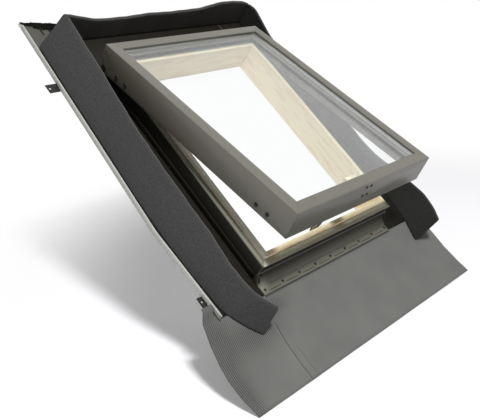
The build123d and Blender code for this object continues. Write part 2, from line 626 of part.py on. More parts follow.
def stay():
    """Stay bracket riveted inside the bottom rail, and the slotted arm that hangs from its pin."""
    wall_y = SASH_FRONT + RAIL_T
    half = STAY_BRACKET_HALF
    upper = SASH_TOP_Z - STAY_RIVET_TOP
    low_z, high_z = upper - STAY_RIVET_Z - STAY_RIVET_EDGE, upper + STAY_RIVET_EDGE
    leg_z = SHELF_Z - STAY_BRACKET_T
    bracket = block(-half, half, wall_y, wall_y + STAY_BRACKET_T, low_z, high_z)
    inner_y = STAY_PIN_Y + STAY_EYE_R
    bracket += block(-half, half, wall_y, inner_y, leg_z, SHELF_Z)
    for side in (-1, 1):
        ear = (side * STAY_EAR_X, side * half)
        bracket += block(*ear, STAY_PIN_Y - STAY_EYE_R, inner_y, STAY_PIN_Z, SHELF_Z)
        bracket += rod((ear[0], STAY_PIN_Y, STAY_PIN_Z), (side, 0, 0), STAY_BRACKET_T, 2 * STAY_EYE_R)
    pin_start = (-half, STAY_PIN_Y, STAY_PIN_Z)
    bracket -= rod(pin_start, (1, 0, 0), 2 * half, STAY_PIN_D + 2 * FIT_GAP)
    depth = RAIL_T + STAY_BRACKET_T
    bracket -= [rod(p, (0, 1, 0), depth, STAY_RIVET_D + 2 * FIT_GAP) for p in stay_rivet_places()]
    add("stay_bracket", bracket, on_sash=True)
    rivets = []
    for place in stay_rivet_places():
        head = rod(place, (0, -1, 0), STAY_RIVET_HEAD_H, STAY_RIVET_HEAD_D)
        rivets.append(head + rod(place, (0, 1, 0), depth, STAY_RIVET_D))
    add("stay_bracket_rivets", rivets, on_sash=True)
    pin = rod(pin_start, (1, 0, 0), 2 * half, STAY_PIN_D)
    for side in (-1, 1):
        pin += rod((side * half, STAY_PIN_Y, STAY_PIN_Z), (side, 0, 0), STAY_PIN_HEAD_H, STAY_PIN_HEAD_D)
    add("stay_pin", pin, on_sash=True)
    arm_x = STAY_W / 2
    thin = STAY_T / 2
    arm = block(-arm_x, arm_x, STAY_PIN_Y - thin, STAY_PIN_Y + thin, STAY_PIN_Z - STAY_L, STAY_PIN_Z)
    arm += rod((-arm_x, STAY_PIN_Y, STAY_PIN_Z), (1, 0, 0), STAY_W, 2 * STAY_EYE_R)
    arm -= rod((-arm_x, STAY_PIN_Y, STAY_PIN_Z), (1, 0, 0), STAY_W, STAY_PIN_D + 2 * RUN_GAP)
    tip_z = STAY_PIN_Z - STAY_L
    arm = fillet(arm.edges().filter_by(Axis.Y).group_by(Axis.Z)[0], STAY_TIP_R)
    for i in range(STAY_SLOT_COUNT):
        z = tip_z + STAY_SLOT_L + i * STAY_SLOT_PITCH
        slot = SlotOverall(STAY_SLOT_L, STAY_SLOT_W, rotation=90)
        cutter = Plane((0, STAY_PIN_Y + thin, z), x_dir=(1, 0, 0), z_dir=(0, -1, 0)) * slot
        arm -= extrude(cutter, STAY_T)
    add("stay_arm", arm.rotate(STAY_AXIS, STAY_LEAN), on_sash=True)
    keeper()


def keeper_screws(gap):
    """The keeper's two screw shanks in the sill, with a gap round them."""
    half = (KEEPER_W - KEEPER_SCREW_HEAD_D) / 2
    places = [(x, -INNER_HALF_L, keeper_middle()) for x in (-half, half)]
    return [rod(p, (0, -1, 0), KEEPER_SCREW_L + gap, KEEPER_SCREW_D + 2 * gap) for p in places]


def keeper_middle():
    """Height of the keeper's centre on the sill's inner face."""
    return (LIP_Z - BOARD_DROP) / 2


def keeper():
    """Plate with a low stud on the sill's inner face, which the arm's slots drop over."""
    face, z = -INNER_HALF_L, keeper_middle()
    plate = block(-KEEPER_W / 2, KEEPER_W / 2, face, face + KEEPER_T, z - KEEPER_H / 2, z + KEEPER_H / 2)
    plate += rod((0, face + KEEPER_T, z), (0, 1, 0), KEEPER_STUD_H, KEEPER_STUD_D)
    screws = []
    for shank in keeper_screws(0):
        x = shank.center().X
        plate -= rod((x, face, z), (0, 1, 0), KEEPER_T, KEEPER_SCREW_D + 2 * FIT_GAP)
        neck = rod((x, face, z), (0, 1, 0), KEEPER_T, KEEPER_SCREW_D)
        head = rod((x, face + KEEPER_T, z), (0, 1, 0), KEEPER_SCREW_HEAD_H, KEEPER_SCREW_HEAD_D)
        screws.append(shank + neck + head)
    add("stay_keeper", plate)
    add("keeper_screws", screws)


def write_parts():
    """Swing what rides on the sash to its rest angle, and write one file for each node."""
    os.makedirs("parts", exist_ok=True)
    for name, shapes in NODES.items():
        if name in SASH_NODES:
            shapes = [shape.rotate(SASH_AXIS, -REST_OPEN) for shape in shapes]
        export_step(shapes[0] if len(shapes) == 1 else Compound(children=shapes), f"parts/{name}.step")


def rest_place(y, z):
    """Where a point of the shut sash lies at rest."""
    turn = radians(REST_OPEN)
    dy, dz = y - HINGE_Y, z - HINGE_Z
    return HINGE_Y + dy * cos(turn) + dz * sin(turn), HINGE_Z - dy * sin(turn) + dz * cos(turn)


curb()
cladding()
sill_cover()
flashing()
fixing_clips()
apron()
foam_strips()
hinges()
sash_rails()
glazing()
stay()
write_parts()
print("sash hinge at", HINGE_Y, HINGE_Z)
print("stay pin at rest", rest_place(STAY_PIN_Y, STAY_PIN_Z))
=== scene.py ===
import json
import math

import bmesh
import bpy
import numpy as np
from mathutils import Matrix, Vector


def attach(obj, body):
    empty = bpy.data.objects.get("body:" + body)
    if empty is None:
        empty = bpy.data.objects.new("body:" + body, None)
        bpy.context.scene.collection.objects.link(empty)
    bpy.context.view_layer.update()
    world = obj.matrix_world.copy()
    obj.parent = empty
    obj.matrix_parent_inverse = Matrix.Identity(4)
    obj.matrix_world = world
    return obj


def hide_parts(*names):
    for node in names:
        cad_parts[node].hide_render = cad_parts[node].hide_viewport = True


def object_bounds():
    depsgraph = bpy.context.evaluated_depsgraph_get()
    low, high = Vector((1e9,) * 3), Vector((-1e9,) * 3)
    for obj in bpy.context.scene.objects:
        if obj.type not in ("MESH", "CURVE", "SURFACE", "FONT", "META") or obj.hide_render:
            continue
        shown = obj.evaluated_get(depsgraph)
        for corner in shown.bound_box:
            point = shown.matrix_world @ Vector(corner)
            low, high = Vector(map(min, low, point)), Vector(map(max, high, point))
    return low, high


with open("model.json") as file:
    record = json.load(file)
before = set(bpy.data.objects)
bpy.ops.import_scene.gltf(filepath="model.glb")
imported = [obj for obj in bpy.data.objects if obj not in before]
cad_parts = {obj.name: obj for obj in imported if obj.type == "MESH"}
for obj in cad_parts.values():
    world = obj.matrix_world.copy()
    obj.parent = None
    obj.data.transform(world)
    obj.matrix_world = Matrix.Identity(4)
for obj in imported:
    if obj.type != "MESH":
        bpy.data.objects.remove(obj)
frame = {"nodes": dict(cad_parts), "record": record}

cad_low, cad_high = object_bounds()
scene = bpy.context.scene
scene.view_settings.view_transform = "Standard"

# Viewpoint
# The hatch is looked at from above its left foot corner, as it would lie on a pitched roof,
# so the camera is rolled against the hatch's own upright.
EYE_PLACE = (-1.21965, -0.56275, 1.02991)
EYE_RIGHT = (0.66986353, -0.5834511, 0.45920328)
EYE_UP = (0.25945645, 0.76342078, 0.591499)
EYE_BACK = (-0.69567607, -0.27708035, 0.66276789)
EYE_LENS = 53.745
EYE_SENSOR = 36.0
eye_data = bpy.data.cameras.new("viewpoint")
eye_data.lens = EYE_LENS
eye_data.sensor_width = EYE_SENSOR
eye_data.sensor_fit = "HORIZONTAL"
eye = bpy.data.objects.new("viewpoint", eye_data)
eye.matrix_world = Matrix([(*EYE_RIGHT, 0), (*EYE_UP, 0), (*EYE_BACK, 0), (*EYE_PLACE, 1)]).transposed()
scene.collection.objects.link(eye)
scene.camera = eye

# Studio
# The hatch leans at its roof's pitch over level white ground, so the ground is tilted in the hatch's frame
# and touches the apron's foot. A white card closes the opening, a soft lamp stands high on the viewer's
# side, and a dim pale dome fills the shade.
ROOF_PITCH = math.radians(38.2)
GROUND_FOOT = (0.0, -0.5125, -0.0095)
GROUND_X = (-2.2, 2.2)
GROUND_BACK = (-0.40, 2.6)
# Away from this middle, over the clear distances, the ground's white share grows to 1 and paints the object's
# shadow lighter with distance.
GROUND_MIDDLE = (0.35, -0.5055, -0.0095)
GROUND_CLEAR = (0.72, 1.34)
PAPER_TONE = (0.93, 0.92, 0.95, 1)
GROUND_SHOWN_WHITE = 0.20
CARD_HALF = (0.2095, 0.2585)
CARD_LIFT = 0.0004
CARD_SHOWN_WHITE = 0.98
DOME_TONE = (1.0, 0.985, 0.965, 1)
DOME_STRENGTH = 0.22
LAMP_AIM = (0.0, -0.02, 0.05)
LAMP_PLACE = (-1.30, 0.85, 5.27)
LAMP_SIZE = 0.8
LAMP_POWER = 335.0


def link(tree, source, out, target, into):
    """Join one node's output socket to another node's input socket."""
    tree.links.new(source.outputs[out], target.inputs[into])


def seen_mask(tree, kinds):
    """Light Path mask: 1 for the named kinds of rays, and 0 for the rest."""
    path = tree.nodes.new("ShaderNodeLightPath")
    seen, out = path, kinds[0]
    for kind in kinds[1:]:
        either = tree.nodes.new("ShaderNodeMath")
        either.operation = "MAXIMUM"
        link(tree, seen, out, either, 0)
        link(tree, path, kind, either, 1)
        seen, out = either, 0
    return seen


def paper_sheet(name, corners, shown_white, middle=None):
    """Flat sheet of matt white paper with a share of plain white to the eye. With a middle, the share grows
    to 1 away from it, so that the sheet has no visible end and any shadow on it is painted lighter with
    distance, and the sheet is clear from behind."""
    mesh = bpy.data.meshes.new(name)
    mesh.from_pydata(corners, [], [(0, 1, 2, 3)])
    sheet = bpy.data.objects.new(name, mesh)
    scene.collection.objects.link(sheet)
    paper = bpy.data.materials.new(name)
    paper.use_nodes = True
    tree = paper.node_tree
    tree.nodes.remove(tree.nodes["Principled BSDF"])
    matt = tree.nodes.new("ShaderNodeBsdfDiffuse")
    matt.inputs["Color"].default_value = PAPER_TONE
    white = tree.nodes.new("ShaderNodeEmission")
    share = tree.nodes.new("ShaderNodeMath")
    share.operation = "MULTIPLY"
    share.inputs[1].default_value = shown_white
    link(tree, seen_mask(tree, ("Is Camera Ray", "Is Transmission Ray")), 0, share, 0)
    if middle is not None:
        place = tree.nodes.new("ShaderNodeTexCoord")
        away = tree.nodes.new("ShaderNodeVectorMath")
        away.operation = "DISTANCE"
        away.inputs[1].default_value = middle
        grow = tree.nodes.new("ShaderNodeMapRange")
        grow.interpolation_type = "SMOOTHSTEP"
        grow.inputs["From Min"].default_value, grow.inputs["From Max"].default_value = GROUND_CLEAR
        grow.inputs["To Min"].default_value = shown_white
        link(tree, place, "Object", away, 0)
        link(tree, away, "Value", grow, "Value")
        link(tree, grow, "Result", share, 1)
    surface = tree.nodes.new("ShaderNodeMixShader")
    link(tree, share, 0, surface, "Fac")
    link(tree, matt, 0, surface, 1)
    link(tree, white, 0, surface, 2)
    if middle is not None:
        facing = tree.nodes.new("ShaderNodeNewGeometry")
        clear = tree.nodes.new("ShaderNodeBsdfTransparent")
        front = tree.nodes.new("ShaderNodeMixShader")
        link(tree, facing, "Backfacing", front, "Fac")
        link(tree, surface, 0, front, 1)
        link(tree, clear, 0, front, 2)
        surface = front
    link(tree, surface, 0, tree.nodes["Material Output"], "Surface")
    mesh.materials.append(paper)


ground_back = np.array((0, math.cos(ROOF_PITCH), -math.sin(ROOF_PITCH)))
ground_corners = [np.array(GROUND_FOOT) + (x, 0, 0) + back * ground_back
                  for x, back in zip((*GROUND_X, *GROUND_X[::-1]), np.repeat(GROUND_BACK, 2))]
paper_sheet("paper_ground", ground_corners, GROUND_SHOWN_WHITE, GROUND_MIDDLE)
card_z = cad_low.z + CARD_LIFT
card_corners = [(x * CARD_HALF[0], y * CARD_HALF[1], card_z) for x, y in ((-1, -1), (1, -1), (1, 1), (-1, 1))]
paper_sheet("paper_card", card_corners, CARD_SHOWN_WHITE)

dome = bpy.data.worlds.new("pale_dome")
dome.use_nodes = True
scene.world = dome
tree = dome.node_tree
lit = tree.nodes["Background"]
lit.inputs["Color"].default_value = DOME_TONE
lit.inputs["Strength"].default_value = DOME_STRENGTH
shown = tree.nodes.new("ShaderNodeBackground")
shown.inputs["Color"].default_value = (1, 1, 1, 1)
choice = tree.nodes.new("ShaderNodeMixShader")
link(tree, seen_mask(tree, ("Is Camera Ray", "Is Glossy Ray", "Is Transmission Ray")), 0, choice, "Fac")
link(tree, lit, 0, choice, 1)
link(tree, shown, 0, choice, 2)
link(tree, choice, 0, tree.nodes["World Output"], "Surface")

lamp_data = bpy.data.lights.new("high_key", "AREA")
lamp_data.size = LAMP_SIZE
lamp_data.energy = LAMP_POWER
lamp = bpy.data.objects.new("high_key", lamp_data)
lamp.location = LAMP_PLACE
lamp.rotation_mode = "QUATERNION"
lamp.rotation_quaternion = (Vector(LAMP_AIM) - lamp.location).to_track_quat("-Z", "Y")
scene.collection.objects.link(lamp)

# Pine curb
# Four planed pine boards, rebated along their top outer edge and screwed at the corners.
# The wood is pale and clear coated, with its grain along each board.
BOARD_EASE = 0.0012
PINE_EARLY = (0.93, 0.76, 0.52, 1)
PINE_LATE = (0.83, 0.60, 0.36, 1)
# A paler copy of the pine, painted as light on the left jamb, which lies in shade.
LIT_PINE_EARLY = (0.98, 0.92, 0.77, 1)
LIT_PINE_LATE = (0.94, 0.84, 0.66, 1)
PINE_BANDS = (0.30, 0.52, 0.60, 0.68)
PINE_STRETCH = (14.0, 110.0, 110.0)
FIBRE_SHARE = 0.14
FIBRE_BUMP = 0.0002
ZINC_LOW = (0.42, 0.41, 0.39, 1)
ZINC_HIGH = (0.60, 0.59, 0.57, 1)
MERGE_GAP = 1e-6
FLAT_TURN = math.radians(0.5)
ARRIS_TURN = math.radians(40)
MIX_A = 6
MIX_B = 7
MIX_COLOUR = 2
body_of = {node: body for body, nodes in frame["record"]["behaviour"]["bodies"].items() for node in nodes}


def colour_ramp(tree, stops):
    """Colour ramp node with the given (place, colour) stops."""
    ramp = tree.nodes.new("ShaderNodeValToRGB")
    elements = ramp.color_ramp.elements
    elements[0].position, elements[0].color = stops[0]
    elements[1].position, elements[1].color = stops[-1]
    for place, colour in stops[1:-1]:
        elements.new(place).color = colour
    return ramp


def group_with(name, inputs, outputs):
    """Empty shader node group with named sockets, as (group, its input node, its output node)."""
    group = bpy.data.node_groups.new(name, "ShaderNodeTree")
    for label, kind in inputs:
        group.interface.new_socket(label, in_out="INPUT", socket_type=kind)
    for label, kind in outputs:
        group.interface.new_socket(label, in_out="OUTPUT", socket_type=kind)
    return group, group.nodes.new("NodeGroupInput"), group.nodes.new("NodeGroupOutput")


def noise(tree, scale, detail):
    """Noise texture node with its scale and detail."""
    node = tree.nodes.new("ShaderNodeTexNoise")
    node.inputs["Scale"].default_value = scale
    node.inputs["Detail"].default_value = detail
    return node


def colour_mix(tree, kind, share=1.0):
    """Mix node for two colours, of a kind such as MIX or MULTIPLY, with the second one's share. Its colour
    sockets are told by number, because their names repeat."""
    mix = tree.nodes.new("ShaderNodeMix")
    mix.data_type = "RGBA"
    mix.blend_type = kind
    mix.inputs["Factor"].default_value = share
    return mix


def mottle_group():
    """Two tones mixed by cloudy noise on Object coordinates, and a finer noise for height."""
    group, into, out = group_with(
        "mottle",
        [("Cloud Scale", "NodeSocketFloat"), ("Grain Scale", "NodeSocketFloat"),
         ("Low Tone", "NodeSocketColor"), ("High Tone", "NodeSocketColor")],
        [("Colour", "NodeSocketColor"), ("Height", "NodeSocketFloat")],
    )
    place = group.nodes.new("ShaderNodeTexCoord")
    cloud = noise(group, scale=1.0, detail=3.0)
    grain = noise(group, scale=1.0, detail=2.0)
    mix = colour_mix(group, "MIX")
    link(group, place, "Object", cloud, "Vector")
    link(group, place, "Object", grain, "Vector")
    link(group, into, "Cloud Scale", cloud, "Scale")
    link(group, into, "Grain Scale", grain, "Scale")
    link(group, cloud, "Fac", mix, "Factor")
    link(group, into, "Low Tone", mix, MIX_A)
    link(group, into, "High Tone", mix, MIX_B)
    link(group, mix, MIX_COLOUR, out, "Colour")
    link(group, grain, "Fac", out, "Height")
    return group


mottle = mottle_group()


def blank_finish(name, values):
    """Material with one Principled shader, as (material, shader); plain values go on its sockets."""
    material = bpy.data.materials.new(name)
    material.use_nodes = True
    shader = material.node_tree.nodes["Principled BSDF"]
    for socket, value in values.items():
        shader.inputs[socket].default_value = value
    return material, shader


def bump_onto(tree, shader, source, out, depth):
    """Bump node from a height output to the shader's Normal, with its depth in metres."""
    bump = tree.nodes.new("ShaderNodeBump")
    bump.inputs["Distance"].default_value = depth
    link(tree, source, out, bump, "Height")
    link(tree, bump, "Normal", shader, "Normal")


def mottled_finish(name, low, high, cloud, roughness, grain=700, depth=0.00004, specular=0.5, metallic=0.0):
    """Material whose colour is the mottle group's, between a low and a high tone, with the scales of its
    cloud and grain, and with the grain as a bump of the given depth. Coated sheet has the usual grain."""
    material, shader = blank_finish(
        name, {"Roughness": roughness, "Specular IOR Level": specular, "Metallic": metallic})
    tree = material.node_tree
    cells = tree.nodes.new("ShaderNodeGroup")
    cells.node_tree = mottle
    cells.inputs["Cloud Scale"].default_value = cloud
    cells.inputs["Grain Scale"].default_value = grain
    cells.inputs["Low Tone"].default_value = low
    cells.inputs["High Tone"].default_value = high
    link(tree, cells, "Colour", shader, "Base Color")
    bump_onto(tree, shader, cells, "Height", depth)
    return material


def pine_group(name, early, late):
    """Pine tones from noise in bands, darkened a little by finer fibres; the height follows the fibres."""
    group, into, out = group_with(
        name, [("Vector", "NodeSocketVector")],
        [("Colour", "NodeSocketColor"), ("Height", "NodeSocketFloat")],
    )
    bands = noise(group, scale=1.0, detail=2.0)
    fibre = noise(group, scale=5.0, detail=4.0)
    link(group, into, "Vector", bands, "Vector")
    link(group, into, "Vector", fibre, "Vector")
    tones = colour_ramp(group, list(zip(PINE_BANDS, (early, early, late, early))))
    fine = colour_mix(group, "MULTIPLY", FIBRE_SHARE)
    link(group, bands, "Fac", tones, "Fac")
    link(group, tones, "Color", fine, MIX_A)
    link(group, fibre, "Color", fine, MIX_B)
    link(group, fine, MIX_COLOUR, out, "Colour")
    link(group, fibre, "Fac", out, "Height")
    return group


pine_grain = pine_group("pine_grain", PINE_EARLY, PINE_LATE)
lit_pine_grain = pine_group("lit_pine_grain", LIT_PINE_EARLY, LIT_PINE_LATE)


def pine_finish(name, grain, turn):
    """Pine of the given grain group, with the grain along X turned about Z."""
    material, shader = blank_finish(name, {"Roughness": 0.55, "Specular IOR Level": 0.35})
    tree = material.node_tree
    place = tree.nodes.new("ShaderNodeTexCoord")
    along = tree.nodes.new("ShaderNodeMapping")
    along.vector_type = "TEXTURE"
    along.inputs["Rotation"].default_value = (0, 0, turn)
    stretch = tree.nodes.new("ShaderNodeMapping")
    stretch.inputs["Scale"].default_value = PINE_STRETCH
    wood = tree.nodes.new("ShaderNodeGroup")
    wood.node_tree = grain
    link(tree, place, "Object", along, "Vector")
    link(tree, along, "Vector", stretch, "Vector")
    link(tree, stretch, "Vector", wood, "Vector")
    link(tree, wood, "Colour", shader, "Base Color")
    bump_onto(tree, shader, wood, "Height", FIBRE_BUMP)
    return material


def eased_copy(node, ease, material, segments=2, wide=0.0, is_wide=None):
    """Stand-in for a CAD node: its triangles merged to flat faces, and each arris rounded by the ease,
    or by the wide size where the given test on the arris's middle says so."""
    mesh = frame["nodes"][node].data.copy()
    shell = bmesh.new()
    shell.from_mesh(mesh)
    bmesh.ops.remove_doubles(shell, verts=shell.verts, dist=MERGE_GAP)
    bmesh.ops.dissolve_limit(shell, angle_limit=FLAT_TURN, verts=shell.verts, edges=shell.edges)
    size = max(ease, wide)
    weight = shell.edges.layers.float.new("bevel_weight_edge")
    for edge in shell.edges:
        sharp = len(edge.link_faces) == 2 and edge.calc_face_angle(0.0) > ARRIS_TURN
        eased = sharp and edge.calc_length() > 2 * size
        edge.smooth = eased or not sharp
        broad = is_wide is not None and is_wide((edge.verts[0].co + edge.verts[1].co) / 2)
        edge[weight] = (1.0 if broad else ease / size) if eased else 0.0
    shell.to_mesh(mesh)
    shell.free()
    mesh.materials.clear()
    mesh.materials.append(material)
    mesh.polygons.foreach_set("material_index", np.zeros(len(mesh.polygons), np.int32))
    mesh.shade_smooth()
    piece = bpy.data.objects.new(node + "_eased", mesh)
    scene.collection.objects.link(piece)
    bevel = piece.modifiers.new("ease", "BEVEL")
    bevel.width = size
    bevel.segments = segments
    bevel.limit_method = "WEIGHT"
    bevel.use_clamp_overlap = False
    bevel.harden_normals = True
    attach(piece, body_of[node])
    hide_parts(node)


def dress(node, material):
    """Give a CAD node that stays as it is its finish."""
    for place in frame["nodes"][node].material_slots:
        place.material = material


pine_across = pine_finish("pine_across", pine_grain, 0)
pine_along = pine_finish("pine_along", pine_grain, math.pi / 2)
lit_pine_along = pine_finish("lit_pine_along", lit_pine_grain, math.pi / 2)
eased_copy("frame_head", BOARD_EASE, pine_across)
eased_copy("frame_sill", BOARD_EASE, pine_across)
# The left jamb takes the paler pine as painted light.
eased_copy("frame_left_jamb", BOARD_EASE, lit_pine_along)
eased_copy("frame_right_jamb", BOARD_EASE, pine_along)
zinc = mottled_finish("zinc_steel", ZINC_LOW, ZINC_HIGH, cloud=60, grain=900, roughness=0.42, metallic=0.9)
dress("frame_corner_screws", zinc)

# Curb cladding
# Folded sheet on the curb's head and sides: a wall and a lip over the rebate, with mitred corners.
# The sheet is coil coated in a satin brown-grey.
SHEET_EASE = 0.0006
UMBRA_LOW = (0.087, 0.082, 0.061, 1)
UMBRA_HIGH = (0.107, 0.101, 0.078, 1)
PAINTED_SHADE_HEIGHT = 0.051
# Cladding tones with painted shade by height: dark down the walls, and full tone on the lips' tops as painted
# light.
WALL_LOW = (0.200, 0.194, 0.155, 1)
WALL_HIGH = (0.240, 0.233, 0.190, 1)
WALL_PAINTED_SHADE = ((0.0, 0.055), (0.88, 0.065), (0.955, 1.15))
umbra = mottled_finish("umbra_coat", UMBRA_LOW, UMBRA_HIGH, cloud=9, roughness=0.40, specular=0.95)
height_shaded_wall = mottled_finish("umbra_height_shaded", WALL_LOW, WALL_HIGH, cloud=9, roughness=0.6, specular=0.2)


def onto_base(tree, mix):
    """Put a mix node between a finish's colour, as its first colour, and its shader's Base Color."""
    base = tree.nodes["Principled BSDF"].inputs["Base Color"]
    tree.links.new(base.links[0].from_socket, mix.inputs[MIX_A])
    tree.links.new(mix.outputs[MIX_COLOUR], base)


def paint_shade_by_height(material, stops):
    """Paint shade into a finish's colour: multiply it by a share that follows Object Z, given as stops of a
    share of the painted shade's height and the colour's share there."""
    tree = material.node_tree
    place = tree.nodes.new("ShaderNodeTexCoord")
    apart = tree.nodes.new("ShaderNodeSeparateXYZ")
    height = tree.nodes.new("ShaderNodeMapRange")
    height.inputs["From Max"].default_value = PAINTED_SHADE_HEIGHT
    tones = colour_ramp(tree, [(at, (share, share, share, 1)) for at, share in stops])
    mix = colour_mix(tree, "MULTIPLY")
    link(tree, place, "Object", apart, "Vector")
    link(tree, apart, "Z", height, "Value")
    link(tree, height, "Result", tones, "Fac")
    link(tree, tones, "Color", mix, MIX_B)
    onto_base(tree, mix)


# Painted shade darkens the claddings' walls up to just under the lip, and the lip's top is painted lighter.
paint_shade_by_height(height_shaded_wall, WALL_PAINTED_SHADE)
for name in ("head_cladding", "left_cladding", "right_cladding"):
    eased_copy(name, SHEET_EASE, height_shaded_wall)

# Sill cover
# The sill's sheet in one bent strip: lip, nose, ridge, a hollow cove and a flange riveted to the apron.
# Short beads stiffen the flange, dished caps close the cove's ends, and two pale pads sit on the lip.
CURB_HALF_W = 0.235
CURB_HALF_L = 0.2835
SILL_T = 0.0015
SILL_LIP = ((-0.271, 0.050), (-0.286, 0.050), (-0.286, 0.030), (-0.288, 0.030))
COVE_HOLD = (-0.2887, 0.0165)
SILL_FLANGE = ((-0.3065, 0.0035), (-0.3255, 0.0035))
SILL_BEND = 0.0010
SILL_COLUMNS = 48
COVE_ROWS = 20
BEND_STEPS = 5
BEND_LIMIT = 0.45
WELD_GAP = 1e-7
CREASE_TURN = math.radians(50)
RIVET_Y = -0.316
RIVET_PITCH = 0.056375
RIVET_COUNT = 9
RIVET_SHAPE = ((0, -0.0005), (0.00325, -0.0005), (0.00325, 0.0003), (0.0029, 0.0009), (0.0019, 0.0015),
               (0, 0.0017))
RIDGE_PLACE = (-0.2880, 0.0300)
RIDGE_R = 0.0011
FLANGE_BEAD_Y = -0.3205
FLANGE_BEAD_R = 0.0009
FLANGE_BEAD_GAP = 0.0075
FLANGE_BEAD_SINK = 0.0001
FLANGE_BEAD_TAPER = 0.08
FLANGE_BEAD_TIP = 0.02
DISH_PLACE = (-0.2950, 0.0130)
DISH_HALF = (0.0042, 0.0105)
DISH_TURN = -0.45
DISH_SHAPE = ((0, -0.0004), (0.55, -0.0004), (0.80, -0.0004), (0.90, 0.0009), (1.0, 0.0007), (1.04, -0.0004))
DISH_OFF = 0.0002
PAD_LOW = (0.44, 0.43, 0.40, 1)
PAD_HIGH = (0.54, 0.53, 0.50, 1)
# Pale sill tones, taken down by height as painted shade: darkest in the recess under the nose and at the
# cove's top, lighter down the cove and on the flange, with a painted highlight band at the ridge and the
# lip's top at full tone as painted light.
SILL_LOW = (0.430, 0.420, 0.330, 1)
SILL_HIGH = (0.500, 0.490, 0.395, 1)
SILL_PAINTED_SHADE = ((0.0, 0.34), (0.09, 0.40), (0.17, 0.28), (0.34, 0.10), (0.54, 0.03), (0.57, 0.45),
              (0.605, 0.45), (0.62, 0.03), (0.93, 0.04), (0.97, 1.0))
SHADE_LOW = (0.030, 0.026, 0.018, 1)
SHADE_HIGH = (0.048, 0.042, 0.030, 1)
DARK_LOW = (0.012, 0.011, 0.010, 1)
DARK_HIGH = (0.024, 0.022, 0.020, 1)


def grid_piece(name, grids, materials, node, closed=False, capped=False):
    """Object of one or more grids of points (rows, columns, 3): quads between neighbours, columns joined
    round when closed, and end rings filled when capped. It rides as the named node does."""
    points, faces, start = [], [], 0
    for grid in grids:
        rows, cols, _ = grid.shape
        at = np.arange(start, start + rows * cols).reshape(rows, cols)
        beside = np.roll(at, -1, axis=1)
        if not closed:
            at, beside = at[:, :-1], beside[:, :-1]
        faces += np.stack([at[:-1], beside[:-1], beside[1:], at[1:]], axis=-1).reshape(-1, 4).tolist()
        if capped:
            faces += [at[0, ::-1].tolist(), at[-1].tolist()]
        points.append(grid.reshape(-1, 3))
        start += rows * cols
    mesh = bpy.data.meshes.new(name)
    mesh.from_pydata(np.concatenate(points).tolist(), [], faces)
    shell = bmesh.new()
    shell.from_mesh(mesh)
    bmesh.ops.remove_doubles(shell, verts=shell.verts, dist=WELD_GAP)
    if closed:
        bmesh.ops.recalc_face_normals(shell, faces=shell.faces)
    shell.to_mesh(mesh)
    shell.free()
    mesh.shade_smooth()
    mesh.set_sharp_from_angle(angle=CREASE_TURN)
    for material in materials:
        mesh.materials.append(material)
    piece = bpy.data.objects.new(name, mesh)
    scene.collection.objects.link(piece)
    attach(piece, body_of[node])
    return piece


def thicken(piece, thickness, offset, reverse=0, even=True):
    """Solidify a sheet, evenly or not, with the material of its reverse as so many slots on."""
    solid = piece.modifiers.new("thickness", "SOLIDIFY")
    solid.thickness = thickness
    solid.offset = offset
    solid.use_even_offset = even
    solid.material_offset = reverse
    solid.material_offset_rim = reverse


def bent_line(points, reach, steps):
    """Open line in the plane with each inner corner turned into a parabola, at most a reach long on both
    sides."""
    points = np.array(points)
    inner = points[1:-1]
    back, ahead = points[:-2] - inner, points[2:] - inner
    t = np.linspace(0, 1, steps)[None, :, None]

    def toward(arm):
        size = np.linalg.norm(arm, axis=-1, keepdims=True)
        return (inner + arm * np.minimum(reach / size, BEND_LIMIT))[:, None]

    bend = (1 - t) ** 2 * toward(back) + 2 * t * (1 - t) * inner[:, None] + t ** 2 * toward(ahead)
    return np.concatenate([points[:1], bend.reshape(-1, 2), points[-1:]])


def sill_grid():
    """Sill sheet as its bent line by columns along the sill: straight lip, nose and ridge, a parabola for the
    cove, and the flange. The lip's ends are mitred at 45 degrees."""
    t = np.linspace(0, 1, COVE_ROWS)[:, None]
    start, hold, end = np.array(SILL_LIP[-1]), np.array(COVE_HOLD), np.array(SILL_FLANGE[0])
    cove = (1 - t) ** 2 * start + 2 * t * (1 - t) * hold + t ** 2 * end
    lip = bent_line([*SILL_LIP, tuple(cove[1])], SILL_BEND, BEND_STEPS)
    flange = bent_line([tuple(cove[-2]), *SILL_FLANGE], SILL_BEND, BEND_STEPS)
    line = np.concatenate([lip[:-1], cove[1:-1], flange[1:]])
    half = CURB_HALF_W - np.clip(line[:, 0] + CURB_HALF_L, 0, 1)
    x = half[:, None] * np.linspace(1, -1, SILL_COLUMNS)[None, :]
    return np.stack(np.broadcast_arrays(x, line[:, :1], line[:, 1:]), axis=-1)


def turned_heads(places, axis, shape, steps=18):
    """Closed round heads at places: a shape of (radius, height) pairs turned about the axis, a grid each."""
    axis = np.array(axis, float)
    first = np.roll(axis, 1)
    second = np.cross(axis, first)
    turn = np.linspace(0, 2 * np.pi, steps, endpoint=False)[None, :, None]
    radius, height = (np.array(shape)[:, i, None, None] for i in (0, 1))
    head = radius * (np.cos(turn) * first + np.sin(turn) * second) + height * axis
    return [head + np.array(place) for place in places]


